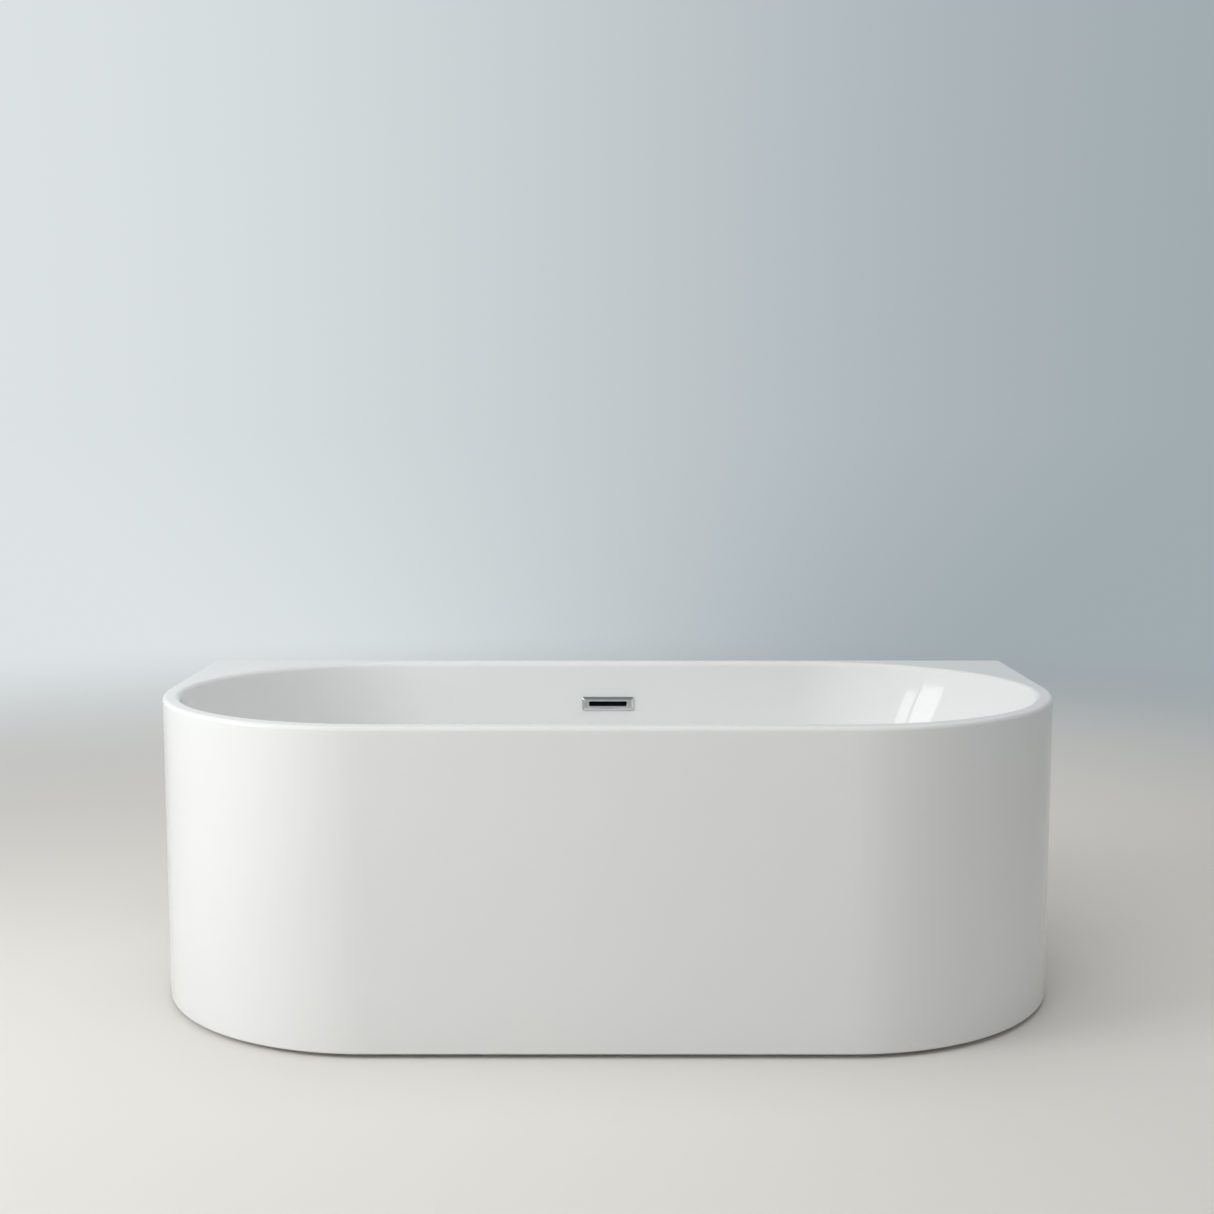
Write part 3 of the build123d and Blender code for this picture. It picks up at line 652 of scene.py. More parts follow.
def settle(mesh: bpy.types.Mesh, name: str, sharp: float) -> Piece:
    """Close the seams of a mesh, turn its faces outwards and shade it.

    Args:
        mesh: Mesh to finish.
        name: Name of the object.
        sharp: Edges that turn by more degrees than this stay crisp.

    Returns:
        The object that holds the mesh.
    """
    work = bmesh.new()
    work.from_mesh(mesh)
    bmesh.ops.remove_doubles(work, verts=work.verts, dist=WELD)
    bmesh.ops.dissolve_degenerate(work, edges=work.edges, dist=TOUCH)
    bmesh.ops.recalc_face_normals(work, faces=work.faces)
    work.to_mesh(mesh)
    work.free()
    mesh.shade_smooth()
    mesh.set_sharp_from_angle(angle=math.radians(sharp))
    piece = bpy.data.objects.new(name, mesh)
    bpy.context.collection.objects.link(piece)
    return piece


def dress(piece: Piece, body: str, slot: Slot, *nodes: str) -> None:
    """Let a piece ride on a body in place of the nodes that it stands for.

    Args:
        piece: The finished piece.
        body: Body that it moves with.
        slot: Material slot of the record; not used.
        nodes: Nodes that it replaces.
    """
    if nodes:
        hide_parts(*nodes)
    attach(piece, body)
    log.info("%s: %d faces on %s", piece.name, len(piece.data.polygons), body)


def coat(nodes: dict[str, Piece], names: Iterable[str], finish: Finish) -> None:
    """Give nodes that keep their solid's shape a finish of their own.

    Args:
        nodes: Objects of the frame by node.
        names: Nodes to coat.
        finish: The finish.
    """
    for name in names:
        mesh = nodes[name].data
        mesh.materials.clear()
        mesh.materials.append(finish.material())
        log.info("%s keeps its solid, in %s", name, finish.name)


class Recipe(Sheet):
    """A Geometry Nodes tree with named inputs, baked to plain meshes."""

    def __init__(self, name: str, **sizes: Any) -> None:
        """Make the tree and its named inputs.

        Args:
            name: Name of the tree.
            sizes: Default of each number by the name of its input.
        """
        super().__init__(bpy.data.node_groups.new(name, "GeometryNodeTree"))
        face = self.tree.interface
        kinds = {"Geometry": "Geometry", "Finish": "Material", "Piece": "Object"}
        kinds |= {size: "Int" if isinstance(value, int) else "Float" for size, value in sizes.items()}
        for size, kind in kinds.items():
            socket = face.new_socket(size, in_out="INPUT", socket_type=f"NodeSocket{kind}")
            if size in sizes:
                socket.default_value = sizes[size]
        self.names = {s.name: s.identifier for s in face.items_tree}
        face.new_socket("Geometry", in_out="OUTPUT", socket_type="NodeSocketGeometry")
        self.given = self.tree.nodes.new("NodeGroupInput")

    def size(self, name: str) -> Wire:
        """One of the named inputs."""
        return Wire(self, self.given.outputs[name])

    def close(self, *shapes: Wire) -> None:
        """End the tree with instances made real, in the given finish.

        Args:
            shapes: Shapes that make up the result.
        """
        joined = self.node("GeometryNodeJoinGeometry", {}, {})
        for shape in shapes:
            self.tree.links.new(shape.socket, joined.inputs[0])
        real = self.wire("GeometryNodeRealizeInstances", {}, {"Geometry": Wire(self, joined.outputs[0])})
        sockets = {"Geometry": real, "Material": self.size("Finish")}
        self.node("NodeGroupOutput", {}, {"Geometry": self.wire("GeometryNodeSetMaterial", {}, sockets)})

    def raised(self, shape: Wire, height: Value) -> Wire:
        """A shape moved up."""
        shift = self.wire("ShaderNodeCombineXYZ", {}, {"Z": height})
        return self.wire("GeometryNodeTransform", {}, {"Geometry": shape, "Translation": shift})

    def make(
        self,
        name: str,
        finish: Finish,
        start: Draft,
        place: Matrix = Matrix(),
        sharp: float = CRISP,
        **inputs: Any,
    ) -> Piece:
        """Run the tree and keep its result as a plain mesh.

        Args:
            name: Name of the new object.
            finish: Finish of the result.
            start: Shape that goes into the tree.
            place: Turn and shift that bring the result into place.
            sharp: Edges that turn by more degrees than this stay crisp.
            inputs: Values of the other inputs by name.

        Returns:
            The new object.
        """
        host = bpy.data.objects.new(name + "_host", start.mesh(name + "_start"))
        bpy.context.collection.objects.link(host)
        modifier = host.modifiers.new("recipe", "NODES")
        modifier.node_group = self.tree
        for key, value in {"Finish": finish.material(), **inputs}.items():
            modifier[self.names[key]] = value
        graph = bpy.context.evaluated_depsgraph_get()
        mesh = bpy.data.meshes.new_from_object(host.evaluated_get(graph))
        host.modifiers.remove(modifier)
        bpy.data.objects.remove(host)
        mesh.name = name
        mesh.transform(place)
        return settle(mesh, name, sharp)

    def scatter(self, name: str, finish: Finish, unit: Draft, spots: Iterable[Spot]) -> Piece:
        """Set a drawn shape on every spot.

        Args:
            name: Name of the new object.
            finish: Finish of the result.
            unit: Shape that is repeated.
            spots: Places of its origin.

        Returns:
            The new object.
        """
        piece = unit.piece(name + "_unit", finish)
        places = Draft()
        places.ring(spots)
        made = self.make(name, finish, places, Piece=piece)
        bpy.data.objects.remove(piece)
        return made


def repeat_recipe() -> Recipe:
    """Recipe that sets one piece on every point, each turned by its own angle.

    Returns:
        The recipe.
    """
    recipe = Recipe("repeat_piece", Turn=3.14)
    turn = recipe.size("Turn")
    low = recipe.wire("ShaderNodeCombineXYZ", {}, {"Z": 0.0 - turn})
    high = recipe.wire("ShaderNodeCombineXYZ", {}, {"Z": turn})
    sockets = {"Min": low, "Max": high, "Seed": 7}
    angle = recipe.wire("FunctionNodeRandomValue", {"data_type": "FLOAT_VECTOR"}, sockets, "Value")
    source = recipe.wire("GeometryNodeObjectInfo", {}, {"Object": recipe.size("Piece")}, "Geometry")
    sockets = {"Points": recipe.size("Geometry"), "Instance": source, "Rotation": angle}
    recipe.close(recipe.wire("GeometryNodeInstanceOnPoints", {}, sockets))
    return recipe


def thread_recipe() -> Recipe:
    """Recipe for a screw thread: a ridge wound on a core, joined to what goes in.

    Returns:
        The recipe.
    """
    recipe = Recipe("screw_thread", Radius=0.006, Pitch=0.00175, Length=0.08, Ridge=0.00095)
    ridge = recipe.size("Ridge")
    length = recipe.size("Length")
    middle = recipe.size("Radius") - ridge
    run = length - 2.0 * ridge
    sockets = {
        "Resolution": 20,
        "Rotations": run / recipe.size("Pitch"),
        "Start Radius": middle,
        "End Radius": middle,
        "Height": run,
    }
    spiral = recipe.wire("GeometryNodeCurveSpiral", {}, sockets)
    upright = recipe.wire("GeometryNodeSetCurveNormal", {"mode": "Z_UP"}, {"Curve": spiral})
    section = recipe.wire("GeometryNodeCurvePrimitiveCircle", {}, {"Resolution": 4, "Radius": ridge}, "Curve")
    sockets = {"Curve": upright, "Profile Curve": section, "Fill Caps": True}
    wound = recipe.wire("GeometryNodeCurveToMesh", {}, sockets)
    sockets = {"Vertices": 32, "Radius": middle + 0.25 * ridge, "Depth": length}
    core = recipe.wire("GeometryNodeMeshCylinder", {}, sockets, "Mesh")
    recipe.close(recipe.size("Geometry"), recipe.raised(wound, ridge), recipe.raised(core, length * 0.5))
    return recipe


def rib_recipe() -> Recipe:
    """Recipe for grip ribs: upright round ribs set about an axis, joined to what goes in.

    Returns:
        The recipe.
    """
    recipe = Recipe("grip_ribs", Count=24, Radius=0.03, Rib=0.0015, Height=0.01, Middle=0.0)
    sockets = {"Resolution": recipe.size("Count"), "Radius": recipe.size("Radius")}
    circle = recipe.wire("GeometryNodeCurvePrimitiveCircle", {}, sockets, "Curve")
    sockets = {"Vertices": 10, "Radius": recipe.size("Rib"), "Depth": recipe.size("Height")}
    rib = recipe.wire("GeometryNodeMeshCylinder", {}, sockets, "Mesh")
    ribs = recipe.wire("GeometryNodeInstanceOnPoints", {}, {"Points": circle, "Instance": rib})
    recipe.close(recipe.size("Geometry"), recipe.raised(ribs, recipe.size("Middle")))
    return recipe


@dataclass(frozen=True)
class Station:
    """A place on the outline of the tub, from which insets are taken."""

    anchor: Pair
    outward: Pair
    reach: float = 0.0

    def at(self, inset: float) -> Pair:
        """Point at an inset from the outline."""
        step = self.reach - inset
        return (self.anchor[0] + step * self.outward[0], self.anchor[1] + step * self.outward[1])

    def mirrored(self) -> Station:
        """The same place at the other end of the tub."""
        return Station((-self.anchor[0], self.anchor[1]), (-self.outward[0], self.outward[1]), self.reach)


@dataclass
class TubShape:
    """Sizes of the tub and the outlines that follow from them."""

    length: float
    depth: float
    height: float
    front_radius: float = 0.430
    back_radius: float = 0.010
    floor_gap: float = 0.008
    shell: float = 0.006
    lip: float = 0.016
    rim_front: float = 0.038
    rim_side: float = 0.034
    rim_back: float = 0.030
    rim_corner: float = 0.032
    edge_outer: float = 0.008
    edge_inner: float = 0.012
    floor_z: float = 0.140
    end_taper: float = 0.087
    end_inset: float = 0.180
    side_inset: float = 0.042
    floor_radius: float = 0.090
    overflow_drop: float = 0.089
    drain_y: float = 0.040
    front_steps: int = 96
    back_steps: int = 8
    wall_steps: int = 24
    oval_steps: int = 96
    end_shares: tuple[float, ...] = (0.012, 0.25, 0.5, 0.75, 0.988)
    front_shares: tuple[float, ...] = (0.012, 0.1, 0.25, 0.4, 0.5, 0.6, 0.75, 0.9, 0.988)

    def __post_init__(self) -> None:
        """Work out what follows from the sizes."""
        self.half_length = self.length / 2 - self.rim_side
        self.half_breadth = (self.depth - self.rim_front - self.rim_back) / 2
        self.basin_y = (self.rim_front - self.rim_back) / 2
        self.basin_depth = self.height - self.floor_z
        reach = (self.front_radius - self.rim_corner) / math.sqrt(2)
        corner_x = self.length / 2 - self.front_radius + reach
        corner_y = self.front_radius - self.depth / 2 - reach
        share = math.sqrt(1 - ((corner_y - self.basin_y) / self.half_breadth) ** 2)
        self.rim_end = (self.half_length - corner_x) / (1 - share)
        self.wall_tilt = math.atan(self.side_inset / self.basin_depth)
        self.overflow_z = self.height - self.overflow_drop
        drop = self.side_inset * self.overflow_drop / self.basin_depth
        self.overflow_y = self.basin_y + self.half_breadth - drop

    def arc(self, centre: Pair, radius: float, turn: float, steps: int) -> list[Station]:
        """Stations on a quarter of the outline's turn, clockwise from an angle in degrees."""
        angles = [math.radians(turn - 90 * k / steps) for k in range(steps + 1)]
        return [Station(centre, (math.cos(a), math.sin(a)), radius) for a in angles]

    def line(self, start: Pair, end: Pair, outward: Pair, shares: Sequence[float]) -> list[Station]:
        """Stations at shares of the way along a straight of the outline."""
        spots = [(start[0] + (end[0] - start[0]) * s, start[1] + (end[1] - start[1]) * s) for s in shares]
        return [Station(spot, outward) for spot in spots]

    def skirt_stations(self) -> list[Station]:
        """Stations from the back right corner round the front to the back left corner.

        Returns:
            Stations in order, corners included.
        """
        half, wall, big, small = self.length / 2, self.depth / 2, self.front_radius, self.back_radius
        right = self.arc((half - small, wall - small), small, 90, self.back_steps)
        right += self.line((half, wall - small), (half, big - wall), (1, 0), self.end_shares)
        right += self.arc((half - big, big - wall), big, 360, self.front_steps)
        front = self.line((half - big, -wall), (big - half, -wall), (0, -1), self.front_shares)
        return right + front + [s.mirrored() for s in reversed(right)]

    def outline_stations(self) -> list[Station]:
        """Stations all round the tub, the straight back included.

        Returns:
            Stations in order from the back right corner.
        """
        edge = self.length / 2 - self.back_radius
        shares = [k / self.wall_steps for k in range(1, self.wall_steps)]
        back = self.line((-edge, self.depth / 2), (edge, self.depth / 2), (0, 1), shares)
        return self.skirt_stations() + back

    def oval_stations(self, columns: Sequence[float]) -> list[Pair]:
        """Stations of the basin's oval as a share of its straight and an angle.

        Args:
            columns: Shares of the straight where points have to stand, from one down to nought.

        Returns:
            Pairs of share and angle, in order round the oval.
        """
        turns = [k / self.oval_steps for k in range(self.oval_steps + 1)]
        straight = [*columns, *(-c for c in reversed(columns))]
        right = [(1.0, math.pi * (t - 0.5)) for t in turns]
        back = [(s, math.pi / 2) for s in straight]
        left = [(-1.0, math.pi * (t + 0.5)) for t in turns]
        front = [(-s, 1.5 * math.pi) for s in straight]
        return right + back + left + front

    def oval_point(self, station: Pair, z: float, grow: float, inward: float = 0.0) -> Vector:
        """Point on the basin's wall.

        Args:
            station: Share of the straight and angle.
            z: Height.
            grow: Thickness that the oval is grown by.
            inward: Distance from the wall towards the middle of the basin.

        Returns:
            The point.
        """
        share, angle = station
        drop = (self.height - z) / self.basin_depth
        end = self.rim_end - self.end_taper * drop + grow
        breadth = self.half_breadth - self.side_inset * drop + grow
        middle = self.half_length - self.end_inset * drop + grow - end
        normal = Vector((math.cos(angle) / end, math.sin(angle) / breadth)).normalized()
        x = share * middle + end * math.cos(angle) - inward * normal.x
        y = self.basin_y + breadth * math.sin(angle) - inward * normal.y
        return Vector((x, y, z))

    def oval_slope(self, station: Pair) -> float:
        """Tilt of the basin's wall from upright.

        Args:
            station: Share of the straight and angle.

        Returns:
            Angle in radians.
        """
        share, angle = station
        normal = Vector((math.cos(angle) / self.rim_end, math.sin(angle) / self.half_breadth)).normalized()
        shift = self.end_inset - self.end_taper
        along = (share * shift + self.end_taper * math.cos(angle)) * normal.x
        across = self.side_inset * math.sin(angle) * normal.y
        return math.atan((along + across) / self.basin_depth)


@dataclass
class BasinShell:
    """Basin, deck, rim and turned-down lip as one moulding."""

    shape: TubShape
    hole_half: float = 0.043
    hole_rise: float = 0.00747
    hole_sink: float = 0.00057
    drain_hole: float = 0.024
    guard: float = 0.0008
    sharp: float = 40.0
    edge_steps: int = 8
    rim_steps: int = 8
    floor_steps: int = 26
    drain_steps: int = 64
    columns: tuple[float, ...] = (0.985, 0.9, 0.75, 0.6, 0.45, 0.3)
    over_hole: tuple[float, ...] = (0.566, 0.545, 0.520)
    under_hole: tuple[float, ...] = (0.455, 0.420, 0.380, 0.335, 0.290, 0.250, 0.234)

    def __post_init__(self) -> None:
        """Start the draft and set out the oval, with columns at both sides of the overflow hole."""
        shape = self.shape
        columns = (*self.columns, self.hole_half / (shape.half_length - shape.rim_end))
        self.draft = Draft()
        self.stations = shape.oval_stations(columns)
        self.slopes = [shape.oval_slope(s) for s in self.stations]
        self.hole = shape.oval_steps + len(columns)

    def build(self) -> None:
        """Draw the shell."""
        shape = self.shape
        inner_top, inner_low, inner_hole = self._wall(0.0, shape.floor_z, Side.GLOSS)
        outer_top, outer_low, outer_hole = self._wall(shape.shell, shape.floor_z - shape.shell, Side.BACK)
        self.draft.bridge(inner_hole, outer_hole, Side.GLOSS)
        self._deck(inner_top, outer_top)
        self._floor(inner_low, outer_low)
        piece = self.draft.piece("tub_basin", ACRYLIC, RESIN, sharp=self.sharp)
        dress(piece, TUB, Slot.ACRYLIC, "basin_shell")

    def _wall(self, grow: float, floor: float, kind: Side) -> tuple[list[int], list[int], list[int]]:
        """Draw one face of the basin's wall from the rim to the floor.

        Args:
            grow: Nought for the inside, the shell's thickness for the outside.
            floor: Height of the floor on this face.
            kind: Finish of the faces.

        Returns:
            The top ring, the innermost ring on the floor and the corners of the overflow hole.
        """
        shape = self.shape
        top, edge, middle = shape.height, shape.edge_inner, shape.overflow_z
        if grow:
            middle -= self.hole_sink
            rows = [self._level(top - shape.shell, grow)]
        else:
            rows = [self._corner(top, -1, edge, grow, 0.0, self.guard)]
            rows += [self._corner(top, -1, edge, grow, k / self.rim_steps) for k in range(self.rim_steps + 1)]
        hole_row = len(rows) + len(self.over_hole)
        sides = (middle + self.hole_rise, middle - self.hole_rise)
        rows += [self._level(z, grow) for z in (*self.over_hole, *sides, *self.under_hole)]
        radius = shape.floor_radius + grow
        for k in range(self.floor_steps + 1):
            rows.append(self._corner(floor, 1, radius, grow, 1 - k / self.floor_steps))
        rows.append(self._corner(floor, 1, radius, grow, 0.0, self.guard))
        for i, (first, second) in enumerate(zip(rows, rows[1:])):
            self.draft.bridge(first, second, kind, self.hole if i == hole_row else None)
        upper, lower = rows[hole_row], rows[hole_row + 1]
        near, far = self.hole, self.hole + 1
        return rows[0], rows[-1], [upper[near], upper[far], lower[far], lower[near]]

    def _level(self, z: float, grow: float) -> list[int]:
        """Add one ring of the plain wall."""
        return self.draft.ring(self.shape.oval_point(s, z, grow) for s in self.stations)

    def _corner(
        self, level: float, way: int, radius: float, grow: float, share: float, further: float = 0.0
    ) -> list[int]:
        """Add one ring of the rounded corner between the wall and a level sheet.

        Args:
            level: Height of the sheet.
            way: One where the wall rises from the sheet, minus one where it falls from it.
            radius: Radius of the corner.
            grow: Thickness that the oval is grown by.
            share: One at the wall, nought at the sheet.
            further: Distance past the corner, on the sheet.

        Returns:
            Point numbers of the ring.
        """
        points = []
        for station, slope in zip(self.stations, self.slopes):
            reach = radius / math.tan(math.pi / 4 + slope / 2)
            turn = (math.pi / 2 - slope) * share
            rise = radius - radius * math.cos(turn)
            inward = reach - radius * math.sin(turn) + rise * math.tan(slope) + further
            points.append(self.shape.oval_point(station, level + way * rise, grow, way * inward))
        return self.draft.ring(points)

    def _deck(self, rim: Sequence[int], under: Sequence[int]) -> None:
        """Draw the deck, its outer edge and the lip.

        Args:
            rim: Ring at the deck's inner edge.
            under: Ring where the outside of the basin meets the deck's underside.
        """
        shape = self.shape
        radius = shape.edge_outer
        top = shape.height
        bottom = top - shape.lip
        start = top - radius
        profile = [(shape.shell, top - shape.shell), (shape.shell, bottom), (0.0, bottom)]
        profile.append((0.0, start - self.guard))
        for cos, sin in quarter_turn(self.edge_steps):
            profile.append((radius - radius * cos, start + radius * sin))
        profile.append((radius + self.guard, top))
        stations = shape.outline_stations()
        rings = [self.draft.ring((*s.at(inset), z) for s in stations) for inset, z in profile]
        self.draft.bridge(rings[0], rings[1], Side.BACK)
        for first, second in zip(rings[1:], rings[2:]):
            self.draft.bridge(first, second, Side.GLOSS)
        self._sheet(rings[-1], rim, Side.GLOSS)
        self._sheet(rings[0], under, Side.BACK)

    def _floor(self, top: Sequence[int], under: Sequence[int]) -> None:
        """Draw the floor on both faces and line the drain hole.

        Args:
            top: Innermost ring of the inside.
            under: Innermost ring of the outside.
        """
        shape, out = self.shape, self.drain_hole
        turn = round_turn(self.drain_steps)
        holes = []
        for z in (shape.floor_z, shape.floor_z - shape.shell):
            holes.append(self.draft.ring((out * cos, shape.drain_y + out * sin, z) for cos, sin in turn))
        self._sheet(top, holes[0], Side.GLOSS)
        self._sheet(under, holes[1], Side.BACK)
        self.draft.bridge(holes[0], holes[1], Side.GLOSS)

    def _sheet(self, outer: Sequence[int], inner: Sequence[int], kind: Side) -> None:
        """Fill the flat sheet between an outer and an inner ring.

        Args:
            outer: Outer ring.
            inner: Inner ring.
            kind: Finish of the faces.
        """
        work = bmesh.new()
        loops = []
        for ring in (outer, inner):
            verts = [work.verts.new(self.draft.points[i]) for i in ring]
            loops += [work.edges.new((verts[i - 1], verts[i])) for i in range(len(verts))]
        work.verts.index_update()
        numbers = [*outer, *inner]
        filled = bmesh.ops.triangle_fill(work, use_beauty=True, edges=loops)
        for face in filled["geom"]:
            if isinstance(face, bmesh.types.BMFace):
                self.draft.face([numbers[v.index] for v in face.verts], kind)
        work.free()


@dataclass
class OuterSkirt:
    """Upright skirt round the front and the ends, with its foot flange."""

    shape: TubShape
    wall: float = 0.005
    flange: float = 0.035
    edge: float = 0.004
    edge_steps: int = 5
    guard: float = 0.0008
    back_return: float = 0.060
    sharp: float = 40.0

    def build(self) -> None:
        """Sweep the skirt's section along the outline."""
        shape = self.shape
        draft = Draft()
        end_x = shape.length / 2 - self.back_return
        wall_y = shape.depth / 2
        foot_y = wall_y - self.flange
        stations = [(Station((end_x, wall_y), (0, 1)), False)]
        stations += [(s, s.at(0.0)[1] < foot_y) for s in shape.skirt_stations()]
        stations.append((Station((-end_x, wall_y), (0, 1)), False))
        columns = []
        for station, flanged in self._with_flange_ends(stations, foot_y):
            front, back = self._section(flanged)
            columns.append(draft.ring((*station.at(inset), z) for inset, z in front + back))
        kinds = [Side.GLOSS] * len(front) + [Side.BACK] * len(back)
        for first, second in zip(columns, columns[1:]):
            draft.bridge(first, second)
            draft.kinds[-len(kinds) :] = kinds
        draft.face(columns[0])
        draft.face(columns[-1])
        dress(draft.piece("tub_skirt", ACRYLIC, RESIN, sharp=self.sharp), TUB, Slot.ACRYLIC, "outer_skirt")

    def _with_flange_ends(
        self, stations: list[tuple[Station, bool]], foot_y: float
    ) -> list[tuple[Station, bool]]:
        """Put a double station where the foot flange starts and where it ends.

        Args:
            stations: Stations, each with whether the flange is there.
            foot_y: Place along the ends where the flange stops.

        Returns:
            The stations with the two square ends of the flange.
        """
        out = [stations[0]]
        for before, after in zip(stations, stations[1:]):
            if before[1] != after[1]:
                side = math.copysign(1.0, after[0].at(0.0)[0])
                spot = Station((side * self.shape.length / 2, foot_y), (side, 0))
                out += [(spot, before[1]), (spot, after[1])]
            out.append(after)
        return out

    def _section(self, flanged: bool) -> tuple[list[Pair], list[Pair]]:
        """Section of the skirt as insets and heights.

        Args:
            flanged: Whether the foot flange is there.

        Returns:
            Corners from the top of the outer face down, and from the end of the flange up the inner face.
        """
        edge, wall, low = self.edge, self.wall, self.shape.floor_gap
        top = self.shape.height - self.shape.lip
        front = [(0.0, top), (0.0, low + edge + self.guard)]
        front += [(edge - edge * cos, low + edge - edge * sin) for cos, sin in quarter_turn(self.edge_steps)]
        reach = self.flange if flanged else wall
        return front, [(reach, low), (reach, low + wall), (wall, low + wall), (wall, top)]


@dataclass
class Overflow:
    """Overflow in the back wall of the basin: the chrome cover inside and the housing behind."""

    shape: TubShape
    ribs: Recipe
    plate: Pair = (0.110, 0.029)
    slot: Pair = (0.080, 0.009)
    flange: Pair = (0.116, 0.034)
    box: Pair = (0.100, 0.030)
    depth: float = 0.006
    slope: float = 0.0055
    rise: float = 0.0035
    corner: float = 0.003
    front_corner: float = 0.0024
    plate_soft: float = 0.0004
    plate_sharp: float = 25.0
    wall: float = 0.004
    skin: float = 0.002
    seat: float = 0.0002
    slot_corner: float = 0.0025
    slot_ease: float = 0.0018
    inner_corner: float = 0.001
    sleeve_wall: float = 0.002
    sleeve_reach: float = 0.007
    sleeve_gap: float = 0.001
    gasket: float = 0.002
    flange_thick: float = 0.003
    box_depth: float = 0.036
    box_wall: float = 0.0025
    box_corner: float = 0.004
    box_inside: float = 0.002
    box_edge: float = 0.003
    box_soft: float = 0.0006
    ease_steps: int = 6
    pipe_offset: float = 0.023
    socket: float = 0.0149
    socket_bore: float = 0.0126
    socket_start: float = 0.012
    socket_end: float = 0.046
    socket_soft: float = 0.0005
    socket_steps: int = 64
    bead: float = 0.0009
    bead_length: float = 0.005
    bead_slope: float = 0.001
    rib: float = 0.0008
    rib_count: int = 16
    rib_spare: float = 0.013

    def build(self) -> None:
        """Draw the cover and the housing."""
        self._cover()
        self._housing()

    def _cover(self) -> None:
        """Draw the cover, from its edge through the slot and its sleeve to its hollow back."""
        front = self.seat + self.depth
        edge = front - self.rise
        roof = front - self.skin
        slope, sleeve, hollow, soft = 2 * self.slope, 2 * self.sleeve_wall, 2 * self.wall, self.plate_soft
        rows = [
            (self.plate, 0.0, self.corner, self.seat),
            (self.plate, 0.0, self.corner, edge - soft),
            (self.plate, -soft / 2, self.corner, edge),
            (self.plate, -3 * soft, self.corner, edge + soft),
            (self.plate, soft - slope, self.front_corner, front - soft / 3),
            (self.plate, -soft - slope, self.front_corner, front),
        ]
        for cos, sin in quarter_turn(self.ease_steps):
            spread = 2 * self.slot_ease * (1 - sin)
            out = front - self.slot_ease * (1 - cos)
            rows.append((self.slot, spread, self.slot_corner + spread / 2, out))
        rows += [
            (self.slot, 0.0, self.slot_corner, -self.sleeve_reach),
            (self.slot, sleeve, self.inner_corner, -self.sleeve_reach),
            (self.slot, sleeve, self.inner_corner, roof),
            (self.plate, -hollow, self.inner_corner, roof),
            (self.plate, -hollow, self.inner_corner, self.seat),
        ]
        draft = Draft()
        rings = [draft.ring(self._on_wall(x, up, out) for x, up, out in self._frame(*row)) for row in rows]
        draft.loft(rings, hollow=True)
        piece = draft.piece("overflow_plate", CHROME, sharp=self.plate_sharp)
        dress(piece, TUB, Slot.CHROME, "overflow_cover")

    def _housing(self) -> None:
        """Draw the hollow box behind the wall, with its flange and the ribbed socket for the pipe."""
        face = -self.shape.shell * math.cos(self.shape.wall_tilt) - self.gasket
        back = face - self.flange_thick
        spare = 2 * (self.sleeve_wall + self.sleeve_gap)
        corner, edge, soft = self.box_corner, self.box_edge, self.box_soft
        rows = [
            (self.box, -2 * self.box_wall, self.box_inside, self.box_wall - self.box_depth),
            (self.box, -2 * self.box_wall, self.box_inside, back),
            (self.slot, spare, self.inner_corner, back),
            (self.slot, spare, self.inner_corner, face),
            (self.flange, -2 * soft, corner, face),
            (self.flange, 0.0, corner, face - soft),
            (self.flange, 0.0, corner, back + soft),
            (self.flange, -2 * soft, corner, back),
            (self.box, 2 * soft, corner, back),
            (self.box, 0.0, corner, back - soft),
        ]
        for cos, sin in quarter_turn(self.ease_steps):
            rows.append((self.box, -2 * edge * (1 - cos), corner, edge * (1 - sin) - self.box_depth))
        draft = Draft()
        rings = []
        for row in rows:
            rings.append(draft.ring((x, -out - self.pipe_offset, up) for x, up, out in self._frame(*row)))
        draft.loft(rings)
        start, end, bead = -self.socket_start, -self.socket_end, self.socket + self.bead
        profile = [
            (self.socket_bore, start),
            (self.socket, start),
            (self.socket, end + self.bead_length + self.bead_slope),
            (bead, end + self.bead_length),
            (bead, end),
            (self.socket_bore, end),
        ]
        draft.lathe(eased(profile, self.socket_soft), self.socket_steps, hollow=True)
        shift = Matrix.Translation(self._on_wall(0.0, 0.0, -self.pipe_offset))
        place = shift @ Matrix.Rotation(-self.shape.wall_tilt, 4, "X")
        sizes = {"Count": self.rib_count, "Radius": self.socket, "Rib": self.rib}
        sizes |= {"Height": start - end - self.rib_spare, "Middle": (start + end) / 2}
        piece = self.ribs.make("overflow_box", DARK_PLASTIC, draft, place, **sizes)
        dress(piece, TUB, Slot.DARK, "overflow_housing")

    @staticmethod
    def _frame(size: Pair, grow: float, corner: float, out: float) -> list[Spot]:
        """Points of a rounded rectangle off the wall: along the tub, up the wall and out of it."""
        return [(x, up, out) for x, up in rounded_box(size[0] + grow, size[1] + grow, corner)]

    def _on_wall(self, x: float, up: float, out: float) -> Vector:
        """Place of a point near the overflow.

        Args:
            x: Distance along the tub.
            up: Distance up the wall.
            out: Distance out of the wall.

        Returns:
            The point.
        """
        tilt = self.shape.wall_tilt
        y = self.shape.overflow_y + up * math.sin(tilt) - out * math.cos(tilt)
        z = self.shape.overflow_z + up * math.cos(tilt) + out * math.sin(tilt)
        return Vector((x, y, z))


